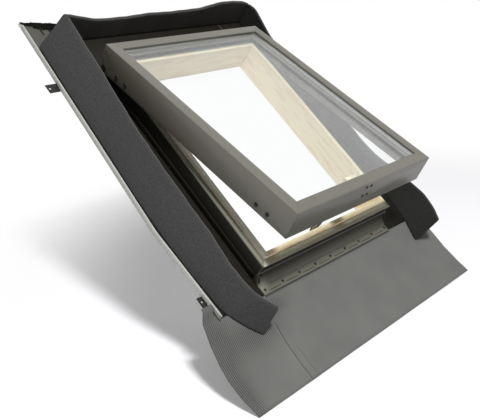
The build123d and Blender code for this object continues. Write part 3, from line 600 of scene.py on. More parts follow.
def flange_beads(rivet_x):
    """Half round beads on the flange between neighbouring rivets, with ends drawn down to points."""
    along = np.linspace(0, 1, 15)[:, None]
    turn = np.linspace(0, np.pi, 7)[None, :]
    taper = np.clip(np.minimum(along, 1 - along) / FLANGE_BEAD_TAPER, FLANGE_BEAD_TIP, 1)
    radius = FLANGE_BEAD_R * np.sqrt(taper)
    y = FLANGE_BEAD_Y - radius * np.cos(turn)
    z = SILL_FLANGE[0][1] - FLANGE_BEAD_SINK + radius * np.sin(turn)
    starts = rivet_x[:-1] + FLANGE_BEAD_GAP
    length = RIVET_PITCH - 2 * FLANGE_BEAD_GAP
    return [np.stack(np.broadcast_arrays(start + along * length, y, z), axis=-1)[:, ::-1] for start in starts]


def ridge_grid():
    """Rolled ridge along the top of the cove: a round rod along the sill, half sunk in the sheet."""
    turn = np.linspace(0, 2 * np.pi, 14, endpoint=False)[None, :]
    x = np.linspace(-CURB_HALF_W, CURB_HALF_W, 12)[:, None]
    y = RIDGE_PLACE[0] + RIDGE_R * np.cos(turn)
    z = RIDGE_PLACE[1] + RIDGE_R * np.sin(turn)
    return np.stack(np.broadcast_arrays(x, y, z), axis=-1)


def dish_grid(side):
    """Oval dish on the inner face of an end cap: rings of a (share, height) shape, stretched to the oval and
    turned."""
    turn = np.linspace(0, 2 * np.pi, 28, endpoint=False)[None, :]
    share, height = (np.array(DISH_SHAPE)[:, i, None] for i in (0, 1))
    a = share * DISH_HALF[0] * np.cos(turn)
    b = share * DISH_HALF[1] * np.sin(turn)
    y = DISH_PLACE[0] + a * math.cos(DISH_TURN) - b * math.sin(DISH_TURN)
    z = DISH_PLACE[1] + a * math.sin(DISH_TURN) + b * math.cos(DISH_TURN)
    x = side * (CURB_HALF_W - DISH_OFF - height) + 0 * turn
    return np.stack([x, y, z], axis=-1)


sill_coat = mottled_finish("sill_coat", SILL_LOW, SILL_HIGH, cloud=11, roughness=0.50, specular=0.10)
# The sill's sheet takes its painted shade and highlights by height.
paint_shade_by_height(sill_coat, SILL_PAINTED_SHADE)
sill_sheet = grid_piece("sill_cladding_bent", [sill_grid()], [sill_coat], "sill_cladding")
thicken(sill_sheet, SILL_T, offset=-1)
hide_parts("sill_cladding")
grid_piece("sill_ridge", [ridge_grid()], [umbra], "sill_cladding", closed=True, capped=True)
shade = mottled_finish("umbra_shade", SHADE_LOW, SHADE_HIGH, cloud=30, roughness=0.5, specular=0.4)
rivet_x = (np.arange(RIVET_COUNT) - (RIVET_COUNT - 1) / 2) * RIVET_PITCH
# The flange beads are in the dark umbra as painted shade, to draw dark lines between the rivets.
grid_piece("sill_flange_beads", flange_beads(rivet_x), [shade], "sill_cladding")
for side, name in ((-1, "sill_end_cap_left"), (1, "sill_end_cap_right")):
    eased_copy(name, SHEET_EASE, umbra)
    grid_piece(name + "_dish", [dish_grid(side)], [shade], name, closed=True)
dark_coat = mottled_finish("dark_coat", DARK_LOW, DARK_HIGH, cloud=80, grain=900,
                           roughness=0.6, specular=0.25)
rivet_places = [(x, RIVET_Y, SILL_FLANGE[0][1]) for x in rivet_x]
rivet_heads = turned_heads(rivet_places, (0, 0, 1), RIVET_SHAPE)
rivets = grid_piece("apron_rivets_domed", rivet_heads, [dark_coat], "apron_rivets", closed=True)
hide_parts("apron_rivets")
pad_plastic = mottled_finish("pale_pad", PAD_LOW, PAD_HIGH, cloud=120, grain=1500, depth=0.00003,
                             roughness=0.5)
dress("sill_buffers", pad_plastic)

# Flashing
# Side gutters and a head sheet of the same coated sheet, with an outer lip folded up and hemmed.
# The sheet's reverse is left in its pale primer, which shows on the lip, and flat clips hold it down.
FLASH_Z = 0.0032
FLASH_T = 0.0012
FLASH_LIP_Z = 0.017
FLASH_FOOT = -0.3255
FLASH_WIDEST = -0.11815
FLASH_HEAD = 0.472
FLASH_HEAD_INNER = 0.452
FLASH_WIDTHS = (0.133, 0.1445, 0.1105)
FLASH_BEND = 0.0016
FLASH_UPSTAND = 0.014
FLASH_LIT = (0.285, 0.385)
LIP_HEAD_CUT = 0.020
HEM_H = 0.0125
HEM_T = 0.0007
BEAD_R = 0.0022
BEAD_LOW = 0.4295
BEAD_COUNT = 3
BEAD_SINK = 0.0003
FLOOR_COLUMNS = 28
LIP_COLUMNS = 6
FOOT_SHARE = 0.26
PRIMER_LOW = (0.44, 0.445, 0.415, 1)
PRIMER_HIGH = (0.50, 0.505, 0.475, 1)
# Two tones of the flashing's coated sheet: a lighter one as painted light on the gutters' lit head corner,
# and a near-black one as painted shade on the gutter floors, upstands, head beads and head sheet.
LIT_CORNER_LOW = (0.044, 0.042, 0.033, 1)
LIT_CORNER_HIGH = (0.066, 0.063, 0.050, 1)
SHADE_SHEET_LOW = (0.007, 0.006, 0.004, 1)
SHADE_SHEET_HIGH = (0.012, 0.010, 0.007, 1)


def gutter_width(y):
    """Distance from the curb's side to the lip: straight from foot to widest place, and on to the head."""
    return np.interp(y, (FLASH_FOOT, FLASH_WIDEST, FLASH_HEAD), FLASH_WIDTHS)


def gutter_grids(side):
    """Gutter sheet and hem of one side, as grids up the slope by columns across the profile. A column is a
    share of the width and a height: flat floor, round bend, standing lip. The head end is slanted across the
    floor and cut back up the lip."""
    turn = np.linspace(0, np.pi / 2, BEND_STEPS)[1:]
    flat = np.ones(FLOOR_COLUMNS)
    share = np.concatenate([np.linspace(0, 1, FLOOR_COLUMNS), np.ones(turn.size + LIP_COLUMNS)])
    inset = FLASH_T + FLASH_BEND * np.concatenate([flat, 1 - np.sin(turn), np.zeros(LIP_COLUMNS)])
    rise = np.linspace(FLASH_Z + FLASH_BEND, FLASH_LIP_Z, LIP_COLUMNS + 1)[1:]
    height = np.concatenate([FLASH_Z * flat, FLASH_Z + FLASH_BEND * (1 - np.cos(turn)), rise])
    lift = np.clip((height - FLASH_Z) / (FLASH_LIP_Z - FLASH_Z), 0, 1)
    end = FLASH_HEAD_INNER + share * (FLASH_HEAD - FLASH_HEAD_INNER) - lift * LIP_HEAD_CUT
    up = np.concatenate([np.linspace(0, FOOT_SHARE, 16), np.linspace(FOOT_SHARE, 1, 45)[1:]])[:, None]
    y = FLASH_FOOT + up * (end - FLASH_FOOT)
    out = share * (gutter_width(y) - inset)
    sheet = np.stack([side * (CURB_HALF_W + out), y, np.broadcast_to(height, y.shape)], axis=-1)
    hem_z = np.linspace(FLASH_LIP_Z - HEM_H, FLASH_LIP_Z + FLASH_T / 3, 4)
    hem_end = FLASH_HEAD - LIP_HEAD_CUT
    hem_y = FLASH_FOOT + up * (hem_end - FLASH_FOOT) + 0 * hem_z
    hem_out = gutter_width(hem_y) + HEM_T / 2
    hem = np.stack([side * (CURB_HALF_W + hem_out), hem_y, np.broadcast_to(hem_z, hem_y.shape)], axis=-1)
    return sheet, hem


def wall_grid(side):
    """Upstand of a gutter against the curb's side, as a plain vertical strip along the curb."""
    y = np.linspace(-CURB_HALF_L, CURB_HALF_L, 24)[:, None]
    z = np.linspace(FLASH_Z, FLASH_Z + FLASH_UPSTAND, 4)[None, :]
    return np.stack(np.broadcast_arrays(side * (CURB_HALF_W + FLASH_T), y, z), axis=-1)


def bead_grids(side):
    """Stiffening beads at a gutter's head: half round sections, drawn down to a point at their lower end."""
    grids = []
    turn = np.linspace(0, np.pi, 9)[None, :]
    swell = np.linspace(0.2, np.pi / 2, 6)
    radius = BEAD_R * np.append(np.sin(swell), 1)[:, None]
    z = FLASH_Z - BEAD_SINK + radius * np.sin(turn)
    for i in range(BEAD_COUNT):
        out = (i + 1) * FLASH_WIDTHS[2] / (BEAD_COUNT + 2)
        high = FLASH_HEAD_INNER + out / FLASH_WIDTHS[2] * (FLASH_HEAD - FLASH_HEAD_INNER) - 2 * BEAD_R
        y = np.append(BEAD_LOW + 2 * BEAD_R * (1 - np.cos(swell)), high)[:, None]
        x = side * (CURB_HALF_W + out + radius * np.cos(turn))
        grids.append(np.stack(np.broadcast_arrays(x, y, z), axis=-1))
    return grids


primer = mottled_finish("pale_primer", PRIMER_LOW, PRIMER_HIGH, cloud=14, grain=300, depth=0.000001,
                        roughness=0.5, specular=0.4)
shade_sheet = mottled_finish("umbra_painted_shade", SHADE_SHEET_LOW, SHADE_SHEET_HIGH, cloud=12, roughness=0.6, specular=0.15)
lit_corner_sheet = mottled_finish("umbra_lit_corner", LIT_CORNER_LOW, LIT_CORNER_HIGH, cloud=30, roughness=0.55, specular=0.4)
for side, name in ((-1, "left_flashing"), (1, "right_flashing")):
    sheet, hem = gutter_grids(side)
    # The gutter floor is near-black as painted shade, except its lit head corner, which is painted lighter as
    # painted light.
    gutter = grid_piece(name + "_sheet", [sheet[:, ::side]], [shade_sheet, primer, lit_corner_sheet, primer], name)
    middles = np.empty(3 * len(gutter.data.polygons), np.float32)
    gutter.data.polygons.foreach_get("center", middles)
    lit_corner = (middles[1::3] > FLASH_LIT[1]) & (middles[0::3] < -FLASH_LIT[0])
    gutter.data.polygons.foreach_set("material_index", 2 * lit_corner.astype(np.int32))
    thicken(gutter, FLASH_T, offset=-1, reverse=1)
    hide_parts(name)
    # The upstands and head beads are near-black too, as painted shade.
    wall = grid_piece(name + "_upstand", [wall_grid(side)], [shade_sheet], name)
    thicken(wall, FLASH_T, offset=0)
    rim = grid_piece(name + "_hem", [hem], [primer], name)
    thicken(rim, HEM_T, offset=0)
    grid_piece(name + "_beads", [grid[:, ::-side] for grid in bead_grids(side)], [shade_sheet], name)
# The head sheet is near-black as painted shade.
eased_copy("head_flashing", SHEET_EASE, shade_sheet)
dress("fixing_clips", dark_coat)

# Head film
# A strip of thin black sealing film stuck along the head edge of the sheets.
# Both of its long edges are torn, and it is crumpled from handling.
FILM_HALF = 0.342
FILM_Z = 0.0040
FILM_T = 0.0004
FILM_WIDTH = 0.013
FILM_WIDEN = 0.02
FILM_TEAR = 0.0055
FILM_CRUMPLE = 0.0034
FILM_SEED = 7
FILM_LOW = (0.003, 0.003, 0.003, 1)
FILM_HIGH = (0.008, 0.008, 0.008, 1)


def film_grid():
    """Film as columns along the head edge by rows across it. Both long edges are torn: slow sines with a
    seeded jitter and a few long tufts; the height is crumpled by crossed sines and lifts at the head edge."""
    chance = np.random.default_rng(FILM_SEED)
    x = np.linspace(-FILM_HALF, FILM_HALF, 520)
    out_share = np.clip(np.abs(x) - CURB_HALF_W, 0, 1) / FLASH_WIDTHS[2]
    edge = FLASH_HEAD_INNER + out_share * (FLASH_HEAD - FLASH_HEAD_INNER)
    slow = np.sin(x * 61) + 0.7 * np.sin(x * 143 + 1.1)
    tuft = np.clip(chance.normal(0, 1, x.size), 0, 2.6) ** 3 / 17
    jitter = chance.normal(0, 1, x.size)
    high = edge + FILM_TEAR * (0.15 + 0.16 * slow + 0.75 * tuft)
    low = edge - FILM_WIDTH - FILM_TEAR * (0.6 * slow + 0.5 * jitter) - FILM_WIDEN * (FILM_HALF - np.abs(x))
    across = np.linspace(0, 1, 9)[:, None]
    y = low + across * (high - low)
    wave = np.sin(x * 210 + across * 5) * np.sin(across * 4 + x * 77) + 0.6 * np.sin(x * 431 + across * 9)
    z = FILM_Z + FILM_CRUMPLE * (0.4 * np.abs(wave) + 0.9 * across ** 3)
    return np.stack(np.broadcast_arrays(x, y, z), axis=-1)


film = mottled_finish("film", FILM_LOW, FILM_HIGH, cloud=60, grain=500, depth=0.0002,
                      roughness=0.8, specular=0.04)
torn = grid_piece("head_film_torn", [film_grid()[:, ::-1]], [film], "head_film")
thicken(torn, FILM_T, offset=-1, even=False)
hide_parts("head_film")

# Apron
# Pleated soft sheet tucked under the sill flange and laid over the tiles below, with fine ribs down it.
# Its left edge bows out, its upper left corner is bent up, and a few creases run down from the foam's end.
APRON_TOP = -0.2955
APRON_FOOT = -0.5125
APRON_Z = 0.0019
APRON_T = 0.001
APRON_SAG = 0.013
APRON_RUN = (0.0, 0.15, 0.38, 0.62, 0.84, 1.0)
APRON_DIP = (0.0, 0.0, 0.55, 1.0, 0.9, 0.62)
APRON_Y = (-0.5125, -0.471, -0.432, -0.402, -0.362, -0.333, -0.2955)
APRON_LEFT = (-0.413, -0.4185, -0.4210, -0.4205, -0.4155, -0.4085, -0.399)
APRON_RIGHT = (0.4045, 0.401, 0.397, 0.393, 0.387, 0.382, 0.378)
RIB_PITCH = 0.0045
RIB_H = 0.00012
RIB_STRONG = 0.00090
RIB_DEEPEST = 0.0009
RIB_SPOTS = ((-0.400, -0.355, 0.038, 0.060), (-0.310, -0.380, 0.062, 0.034),
             (-0.408, -0.470, 0.026, 0.070), (-0.230, -0.350, 0.045, 0.020))
APRON_SWELL = 0.0012
SWELL_START = 0.035
SWELL_RUN = 0.05
APRON_CLOSE_ROWS = (0.1365, 0.1405, 0.1455, 0.1505, 0.1560, 0.1650)
APRON_COLUMNS = 1450
TUCK_Y = -0.3276
TUCK_SHADOW_W = 0.0026
CREASES = ((-0.2506, -0.372, -0.530, 0.0022), (-0.2350, -0.430, -0.530, 0.0009))
CREASE_W = 0.0022
CREASE_LEAN = 0.058
CREASE_SHADE_W = 0.0013
CREASE_OPENS = 0.02
CREASE_CLOSES = 0.03
TAB_X = -0.3700
TAB_Y = -0.319
TAB_RISE = 0.016
TAB_RUN = 0.016
TAB_FOLD = 0.004
APRON_LOW = (0.114, 0.117, 0.110, 1)
APRON_HIGH = (0.160, 0.164, 0.154, 1)
# Tone that the painted shade darkens the apron towards.
GROOVE_SHADE_TONE = (0.22, 0.22, 0.22, 1)


def apron_sides(y):
    """The apron's left and right edge at each place down it."""
    return np.interp(y, APRON_Y, APRON_LEFT), np.interp(y, APRON_Y, APRON_RIGHT)


def rib_depth(x, y):
    """Depth of the grooves between the apron's ribs: a cosine over the share of the width, so that ribs
    follow the edges, shallow all over and deeper round a few spots."""
    left, right = apron_sides(y)
    depth = RIB_H + 0 * x
    for spot_x, spot_y, wide, long in RIB_SPOTS:
        depth = depth + RIB_STRONG * np.exp(-((x - spot_x) / wide) ** 2 - ((y - spot_y) / long) ** 2)
    turn = (x - left) / (right - left) * (APRON_RIGHT[0] - APRON_LEFT[0]) / RIB_PITCH
    return np.minimum(depth, RIB_DEEPEST) * (0.5 - 0.5 * np.cos(2 * np.pi * turn))


def crease_run(x, y, place, start, end):
    """Distance from a crease's leaning line, and how far the crease has opened there, from 0 to 1."""
    opened_share = np.clip((start - y) / CREASE_OPENS, 0, 1) * np.clip((y - end) / CREASE_CLOSES, 0, 1)
    return x - place + CREASE_LEAN * (start - y), opened_share


def apron_grid():
    """Apron as rows down the slope by columns across. The height is the sag along the rows, less the ribs'
    grooves, plus slow swells, creases as sharp ridges down the slope, and the bent tab."""
    down = np.concatenate([np.linspace(0, 0.12, 4), APRON_CLOSE_ROWS, np.linspace(0.19, 1, 22)])[:, None]
    across = np.linspace(0, 1, APRON_COLUMNS)[None, :]
    y = APRON_TOP + down * (APRON_FOOT - APRON_TOP)
    left, right = apron_sides(y)
    x = left + across * (right - left)
    z = APRON_Z - APRON_SAG * np.interp(down, APRON_RUN, APRON_DIP) + 0 * x
    free = np.clip((APRON_TOP - SWELL_START - y) / SWELL_RUN, 0, 1)
    z = z - rib_depth(x, y)
    z = z + free * APRON_SWELL * np.sin(9 * x + 3 * y) * np.sin(14 * x - 21 * y)
    for place, start, end, height in CREASES:
        away, opened_share = crease_run(x, y, place, start, end)
        z = z + height * opened_share * np.exp(-np.abs(away) / CREASE_W)
    tab = np.clip((TAB_X - x) / TAB_FOLD, 0, 1) * np.clip((y - TAB_Y) / TAB_RUN, 0, 1)
    return np.stack(np.broadcast_arrays(x, y, z + TAB_RISE * tab), axis=-1)


def painted_groove_shade(x, y):
    """Painted shade on the apron, from 0 to 1: in the ribs' grooves by their depth, in bells beside the
    creases, and a painted shadow in a bell along the line where the apron is tucked under the flange."""
    marks = rib_depth(x, y) / RIB_DEEPEST
    deepest = max(height for *_, height in CREASES)
    for place, start, end, height in CREASES:
        away, opened_share = crease_run(x, y, place, start, end)
        dark = np.exp(-((away - CREASE_W) / CREASE_SHADE_W) ** 2)
        marks = np.maximum(marks, opened_share * height / deepest * dark)
    tuck_shadow = np.exp(-((y - TUCK_Y) / TUCK_SHADOW_W) ** 2) * (np.abs(x) < CURB_HALF_W)
    return np.maximum(marks, tuck_shadow)


apron_coat = mottled_finish("apron_coat", APRON_LOW, APRON_HIGH, cloud=12, grain=900, depth=0.00005,
                            roughness=0.65, specular=0.2)
pleated = grid_piece("apron_pleated", [apron_grid()[::-1]], [apron_coat], "apron")
points = np.empty(3 * len(pleated.data.vertices), np.float32)
pleated.data.vertices.foreach_get("co", points)
groove_shade = pleated.data.attributes.new("groove_shade", "FLOAT", "POINT")
groove_shade.data.foreach_set("value", painted_groove_shade(points[0::3], points[1::3]).astype(np.float32))
# The apron's colour is darkened by the painted shade of its grooves, creases and tuck line.
tree = apron_coat.node_tree
groove_shade_input = tree.nodes.new("ShaderNodeAttribute")
groove_shade_input.attribute_name = "groove_shade"
darken = colour_mix(tree, "MULTIPLY")
darken.inputs[MIX_B].default_value = GROOVE_SHADE_TONE
link(tree, groove_shade_input, "Fac", darken, "Factor")
onto_base(tree, darken)
thicken(pleated, APRON_T, offset=-1)
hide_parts("apron")

# Foam strips
# Charcoal open-cell foam wedges glued in the gutters and across the head, which the tiles close on.
# They lean in over the gutters, and the side strips bend in over the apron at the foot.
FOAM_Z = 0.0035
FOAM_FREE = -0.335
FOAM_REACH = 0.056
FOAM_SETTLE = 0.0095
FOAM_BASE = 0.020
FOAM_TOP = 0.008
FOAM_CORNER = 0.0030
FOAM_END = 0.0030
FOAM_DRAW_LIMIT = 0.8
FOAM_RINGS = 150
FOAM_WAVE = 0.0006
FOAM_STEPS = 6
FOAM_FILL = 8
FOAM_LOOP = 4 * (FOAM_STEPS + FOAM_FILL)
FOAM_INNER_COLUMNS = (16, 31)
FOAM_HEAD_COLUMNS = (44, 56)
FOAM_EDGE_COLUMNS = (31, 34)
LEFT_FOAM = (
    (-0.3358, 0.3968, -0.2800, 0.4205, 0.0728), (-0.3439, 0.2564, -0.2901, 0.2533, 0.0649),
    (-0.3528, 0.1018, -0.3070, 0.0991, 0.0643), (-0.3626, -0.0678, -0.3136, -0.0693, 0.0630),
    (-0.3619, -0.1836, -0.3154, -0.1820, 0.0630), (-0.3553, -0.2784, -0.3201, -0.2751, 0.0618),
    (-0.3491, -0.3173, -0.3146, -0.3036, 0.0593), (-0.3242, -0.3569, -0.2995, -0.3382, 0.0550),
    (-0.2932, -0.3912, -0.2725, -0.3726, 0.0500),
)
RIGHT_FOAM = (
    (-0.3358, 0.4000, -0.3259, 0.4065, 0.0655), (-0.3368, 0.3800, -0.3259, 0.3830, 0.0700),
    (-0.3385, 0.3560, -0.3262, 0.3560, 0.0650), (-0.3403, 0.3199, -0.3273, 0.3193, 0.0540),
    (-0.3499, 0.0831, -0.3425, 0.0830, 0.0562), (-0.3508, -0.0450, -0.3400, -0.0450, 0.0450),
    (-0.3498, -0.1500, -0.3400, -0.1500, 0.0470), (-0.3460, -0.2150, -0.3500, -0.2160, 0.0585),
    (-0.3366, -0.3061, -0.3620, -0.3080, 0.0690), (-0.3294, -0.3470, -0.3520, -0.3480, 0.0690),
    (-0.3242, -0.3808, -0.3430, -0.3770, 0.0660),
)
HEAD_FOAM = (
    (-0.2755, 0.4015, -0.2755, 0.4075, 0.0760), (-0.1928, 0.4015, -0.1928, 0.4075, 0.0568),
    (-0.0334, 0.4015, -0.0334, 0.4075, 0.0581), (0.1378, 0.4015, 0.1378, 0.4075, 0.0612),
    (0.2323, 0.4015, 0.2323, 0.4075, 0.0755), (0.2740, 0.4015, 0.2740, 0.4075, 0.0735),
    (0.3010, 0.4015, 0.3010, 0.4075, 0.0695), (0.3290, 0.4015, 0.3290, 0.4075, 0.0615),
)
# Foam tones: the skin; a lighter copy, as painted light, on the head strip's inner face; a paler top edge;
# and a darker copy, as painted shade, on the side strips' inner faces.
FOAM_DARK = (0.032, 0.032, 0.032, 1)
FOAM_PALE = (0.077, 0.077, 0.078, 1)
FOAM_HEAD_LIT_DARK = (0.048, 0.047, 0.044, 1)
FOAM_HEAD_LIT_PALE = (0.125, 0.122, 0.115, 1)
FOAM_EDGE_DARK = (0.090, 0.090, 0.088, 1)
FOAM_EDGE_PALE = (0.150, 0.150, 0.146, 1)
FOAM_INNER_SHADE_DARK = (0.014, 0.014, 0.013, 1)
FOAM_INNER_SHADE_PALE = (0.038, 0.038, 0.036, 1)


def smooth_rows(table, count, end):
    """A table's rows along the path of its first two columns: cubics between rows, with the rows' own slopes,
    at even places and at closer ones near both ends. Gives the rows, their places along the path and their
    distances to the nearer end."""
    table = np.array(table)
    along = np.append(0, np.cumsum(np.linalg.norm(np.diff(table[:, :2], axis=0), axis=1)))
    near = end * (1 - np.cos(np.linspace(0, np.pi / 2, 5)))
    even = np.linspace(end, along[-1] - end, count)[1:-1]
    at = np.concatenate([near, even, along[-1] - near[::-1]])
    slope = np.gradient(table, along, axis=0)
    k = np.clip(np.searchsorted(along, at, side="right") - 1, 0, len(along) - 2)
    span = (along[k + 1] - along[k])[:, None]
    t = (at - along[k])[:, None] / span
    rows = (1 + 2 * t) * (1 - t) ** 2 * table[k] + t * (1 - t) ** 2 * span * slope[k]
    rows = rows + t ** 2 * (3 - 2 * t) * table[k + 1] - t ** 2 * (1 - t) * span * slope[k + 1]
    return rows, at, np.minimum(at, along[-1] - at)


def rounded_loops(corners, reach, steps, fill):
    """Closed loops from corner points (loops, corners, 3): each corner becomes a parabola between points a
    reach before and after it, and each side gets a few points between."""
    def toward(arm):
        size = np.linalg.norm(arm, axis=-1, keepdims=True)
        return arm * np.minimum(reach / size, BEND_LIMIT)

    t = np.linspace(0, 1, steps)[None, None, :, None]
    share = np.linspace(0, 1, fill + 2)[1:-1][None, None, :, None]
    first = (corners + toward(np.roll(corners, 1, axis=1) - corners))[:, :, None]
    last = (corners + toward(np.roll(corners, -1, axis=1) - corners))[:, :, None]
    bend = (1 - t) ** 2 * first + 2 * t * (1 - t) * corners[:, :, None] + t ** 2 * last
    side = last + share * (np.roll(first, -1, axis=1) - last)
    return np.concatenate([bend, side], axis=2).reshape(len(corners), -1, 3)


def foam_rings(table):
    """Wedge sections along a path of base and tip points. Past the gutters' foot the base settles on the
    apron. The tip line waves by slow sines, the corners are rounded, and the rings near both ends are drawn
    in along a quarter circle."""
    rows, at, edge = smooth_rows(table, FOAM_RINGS, FOAM_END)
    run = np.gradient(rows[:, :2], axis=0)
    across = np.stack([-run[:, 1], run[:, 0], 0 * at], axis=1) / np.linalg.norm(run, axis=1)[:, None]
    wave = FOAM_WAVE * (np.sin(at * 57) + 0.6 * np.sin(at * 131 + 1))[:, None]
    settled = np.clip((FOAM_FREE - rows[:, 1]) / FOAM_REACH, 0, 1)
    base = np.column_stack([rows[:, :2], FOAM_Z - FOAM_SETTLE * settled])
    tip = rows[:, 2:] + across * wave
    corners = np.stack([base, base + FOAM_BASE * across, tip + FOAM_TOP * across, tip], axis=1)
    loops = rounded_loops(corners, FOAM_CORNER, FOAM_STEPS, FOAM_FILL)
    middle = loops.mean(axis=1, keepdims=True)
    depth = FOAM_END - np.minimum(edge, FOAM_END)
    draw = (FOAM_END - np.sqrt(FOAM_END ** 2 - depth ** 2))[:, None, None]
    arm = loops - middle
    size = np.linalg.norm(arm, axis=-1, keepdims=True)
    return middle + arm * (1 - np.minimum(draw / size, FOAM_DRAW_LIMIT))


def foam_finish(name, dark, pale, cloud=300, grain=800):
    """Matt foam of two tones, with its cells as a bump."""
    return mottled_finish(name, dark, pale, cloud, roughness=0.95, grain=grain, depth=0.0004, specular=0.02)


foam = foam_finish("foam_skin", FOAM_DARK, FOAM_PALE)
# A paler tone along the strips' top edge.
pale_edge_foam = foam_finish("foam_edge", FOAM_EDGE_DARK, FOAM_EDGE_PALE)
shaded_inner_foam = foam_finish("foam_inner_shade", FOAM_INNER_SHADE_DARK, FOAM_INNER_SHADE_PALE, cloud=230, grain=700)
lit_head_foam = foam_finish("foam_head_lit", FOAM_HEAD_LIT_DARK, FOAM_HEAD_LIT_PALE)
# Inner faces take painted tones: shade on the side strips, light on the head strip.
for name, table, mirror, columns, faced, edged in (
        ("left_foam_strip", LEFT_FOAM, 1, FOAM_INNER_COLUMNS, shaded_inner_foam, pale_edge_foam),
        ("right_foam_strip", RIGHT_FOAM, -1, FOAM_INNER_COLUMNS, shaded_inner_foam, foam),
        ("head_foam_strip", HEAD_FOAM, 1, FOAM_HEAD_COLUMNS, lit_head_foam, pale_edge_foam)):
    rings = foam_rings(table) * (mirror, 1, 1)
    strip = grid_piece(name + "_soft", [rings], [foam, faced, edged], name, closed=True, capped=True)
    finishes = np.zeros(len(strip.data.polygons), np.int32)
    finishes[:-2].reshape(-1, FOAM_LOOP)[:, slice(*columns)] = 1
    finishes[:-2].reshape(-1, FOAM_LOOP)[:, slice(*FOAM_EDGE_COLUMNS)] = 2
    strip.data.polygons.foreach_set("material_index", finishes)
    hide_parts(name)

# Hinges
# Pressed zinc-plated brackets screwed to the curb's head corners, with leaves on the sash's stiles.
# Each pair turns on a dark pin, with washers between bracket and leaf.
for name in ("hinge_bracket_left", "hinge_bracket_right", "hinge_leaf_left", "hinge_leaf_right"):
    eased_copy(name, SHEET_EASE, zinc)
for name in ("hinge_bracket_screws", "hinge_washers"):
    dress(name, zinc)
for name in ("hinge_pin_left", "hinge_pin_right"):
    dress(name, dark_coat)

# Sash rails
# Four mitred rails of bent coated sheet: a top flange over the glass, a shelf under it and an outer skirt.
# The fold along the outer top edge is the roundest, cleats of mill aluminium tie the corners inside, and
# dished plastic plugs close the holes in the stiles' skirts.
RAIL_EASE = 0.0007
RAIL_FOLD = 0.0028
SASH_OPEN = math.radians(12.4)
SASH_HINGE_Y = 0.285
SASH_HINGE_Z = 0.038
SASH_TOP_Z = 0.089
SASH_HALF_W = 0.2455
SASH_FRONT = -0.2935
SASH_BACK = 0.2975
SASH_NEAR = 0.0004
MILL_LOW = (0.55, 0.55, 0.54, 1)
MILL_HIGH = (0.68, 0.68, 0.67, 1)
PLUG_SHAPE = ((0, -0.001), (0.0050, -0.001), (0.0050, 0.0008), (0.0045, 0.0015), (0.0034, 0.0014),
              (0.0026, 0.0008), (0, 0.0007))
PLUG_RUNS = (-0.2365, -0.2055, 0.2095, 0.2405)
PLUG_Z = 0.039
PLUG_LOW = (0.010, 0.010, 0.010, 1)
PLUG_HIGH = (0.020, 0.019, 0.018, 1)


def on_outer_fold(place):
    """Whether a point of the open sash lies on the outer top edge: turned back shut, it is at the top and
    outside."""
    dy, dz = place.y - SASH_HINGE_Y, place.z - SASH_HINGE_Z
    y = SASH_HINGE_Y + dy * math.cos(SASH_OPEN) - dz * math.sin(SASH_OPEN)
    z = SASH_HINGE_Z + dy * math.sin(SASH_OPEN) + dz * math.cos(SASH_OPEN)
    at_side = abs(place.x) > SASH_HALF_W - SASH_NEAR
    at_end = y < SASH_FRONT + SASH_NEAR or y > SASH_BACK - SASH_NEAR
    return z > SASH_TOP_Z - SASH_NEAR and (at_side or at_end)


for name in ("sash_head_rail", "sash_bottom_rail", "sash_left_stile", "sash_right_stile"):
    eased_copy(name, RAIL_EASE, umbra, segments=4, wide=RAIL_FOLD, is_wide=on_outer_fold)
mill = mottled_finish("mill_aluminium", MILL_LOW, MILL_HIGH, cloud=50, grain=900, depth=0.00003,
                      roughness=0.4, metallic=0.9)
dress("sash_corner_cleats", mill)


def opened(points):
    """Points of the shut sash turned about the hinge axis to the angle at which it stands."""
    y, z = points[..., 1] - SASH_HINGE_Y, points[..., 2] - SASH_HINGE_Z
    turned_y = SASH_HINGE_Y + y * math.cos(SASH_OPEN) + z * math.sin(SASH_OPEN)
    turned_z = SASH_HINGE_Z - y * math.sin(SASH_OPEN) + z * math.cos(SASH_OPEN)
    return np.stack([points[..., 0], turned_y, turned_z], axis=-1)


plug_plastic = mottled_finish("plug_plastic", PLUG_LOW, PLUG_HIGH, cloud=100, grain=1200, depth=0.00003,
                              roughness=0.6, specular=0.3)
plug_heads = []
for side in (-1, 1):
    places = [(side * SASH_HALF_W, y, PLUG_Z) for y in PLUG_RUNS]
    plug_heads += [opened(head) for head in turned_heads(places, (side, 0, 0), PLUG_SHAPE)]
plugs = grid_piece("stile_plugs_dished", plug_heads, [plug_plastic], "stile_plugs", closed=True)
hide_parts("stile_plugs")

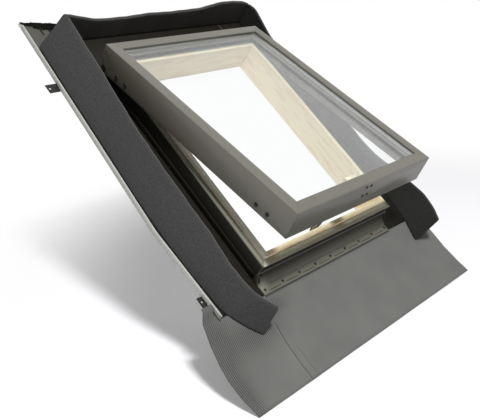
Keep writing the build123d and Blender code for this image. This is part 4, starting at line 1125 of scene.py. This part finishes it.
# Glass unit
# Two panes of clear float glass on a metal spacer, sealed round the edge and bedded on tape on the rails'
# shelf. A soft gasket closes the joint under the top flange, and a rubber seal runs round below.
GLASS_TONE = (0.985, 0.99, 0.99, 1)
GLASS_SHADOW = (0.92, 0.95, 0.94, 1)
RUBBER_LOW = (0.015, 0.015, 0.015, 1)
RUBBER_HIGH = (0.028, 0.028, 0.028, 1)
GASKET_LOW = (0.070, 0.069, 0.058, 1)
GASKET_HIGH = (0.090, 0.088, 0.076, 1)
glass, shader = blank_finish("clear_glass", {"Base Color": GLASS_TONE, "Roughness": 0.0, "IOR": 1.5,
                                             "Transmission Weight": 1.0})
tree = glass.node_tree
clear = tree.nodes.new("ShaderNodeBsdfTransparent")
clear.inputs["Color"].default_value = GLASS_SHADOW
pane = tree.nodes.new("ShaderNodeMixShader")
link(tree, seen_mask(tree, ("Is Shadow Ray", "Is Diffuse Ray")), 0, pane, "Fac")
link(tree, shader, 0, pane, 1)
link(tree, clear, 0, pane, 2)
link(tree, pane, 0, tree.nodes["Material Output"], "Surface")
for name in ("outer_pane", "inner_pane"):
    dress(name, glass)
dress("spacer_bar", mill)
rubber = mottled_finish("black_rubber", RUBBER_LOW, RUBBER_HIGH, cloud=70, grain=1100, depth=0.00005,
                        roughness=0.7)
for name in ("edge_sealant", "glazing_tape", "sash_seal"):
    dress(name, rubber)
gasket = mottled_finish("grey_gasket", GASKET_LOW, GASKET_HIGH, cloud=70, grain=1100, depth=0.00005,
                        roughness=0.7)
dress("outer_gasket", gasket)

# Stay
# A flat slotted arm of brown coated steel on a riveted bracket under the bottom rail. Its slots fit a
# keeper's stud inside the sill, to hold the sash ajar. Bracket, pin and keeper are plated in gold zinc.
BROWN_LOW = (0.085, 0.062, 0.030, 1)
BROWN_HIGH = (0.130, 0.097, 0.050, 1)
GOLD_LOW = (0.62, 0.52, 0.33, 1)
GOLD_HIGH = (0.74, 0.63, 0.42, 1)
brown = mottled_finish("brown_coat", BROWN_LOW, BROWN_HIGH, cloud=40, roughness=0.4)
eased_copy("stay_arm", SHEET_EASE, brown)
dress("stay_bracket_rivets", dark_coat)
gold = mottled_finish("gold_zinc", GOLD_LOW, GOLD_HIGH, cloud=60, grain=900, roughness=0.5, metallic=0.3)
eased_copy("stay_bracket", SHEET_EASE, gold)
for name in ("stay_pin", "stay_keeper", "keeper_screws"):
    dress(name, gold)
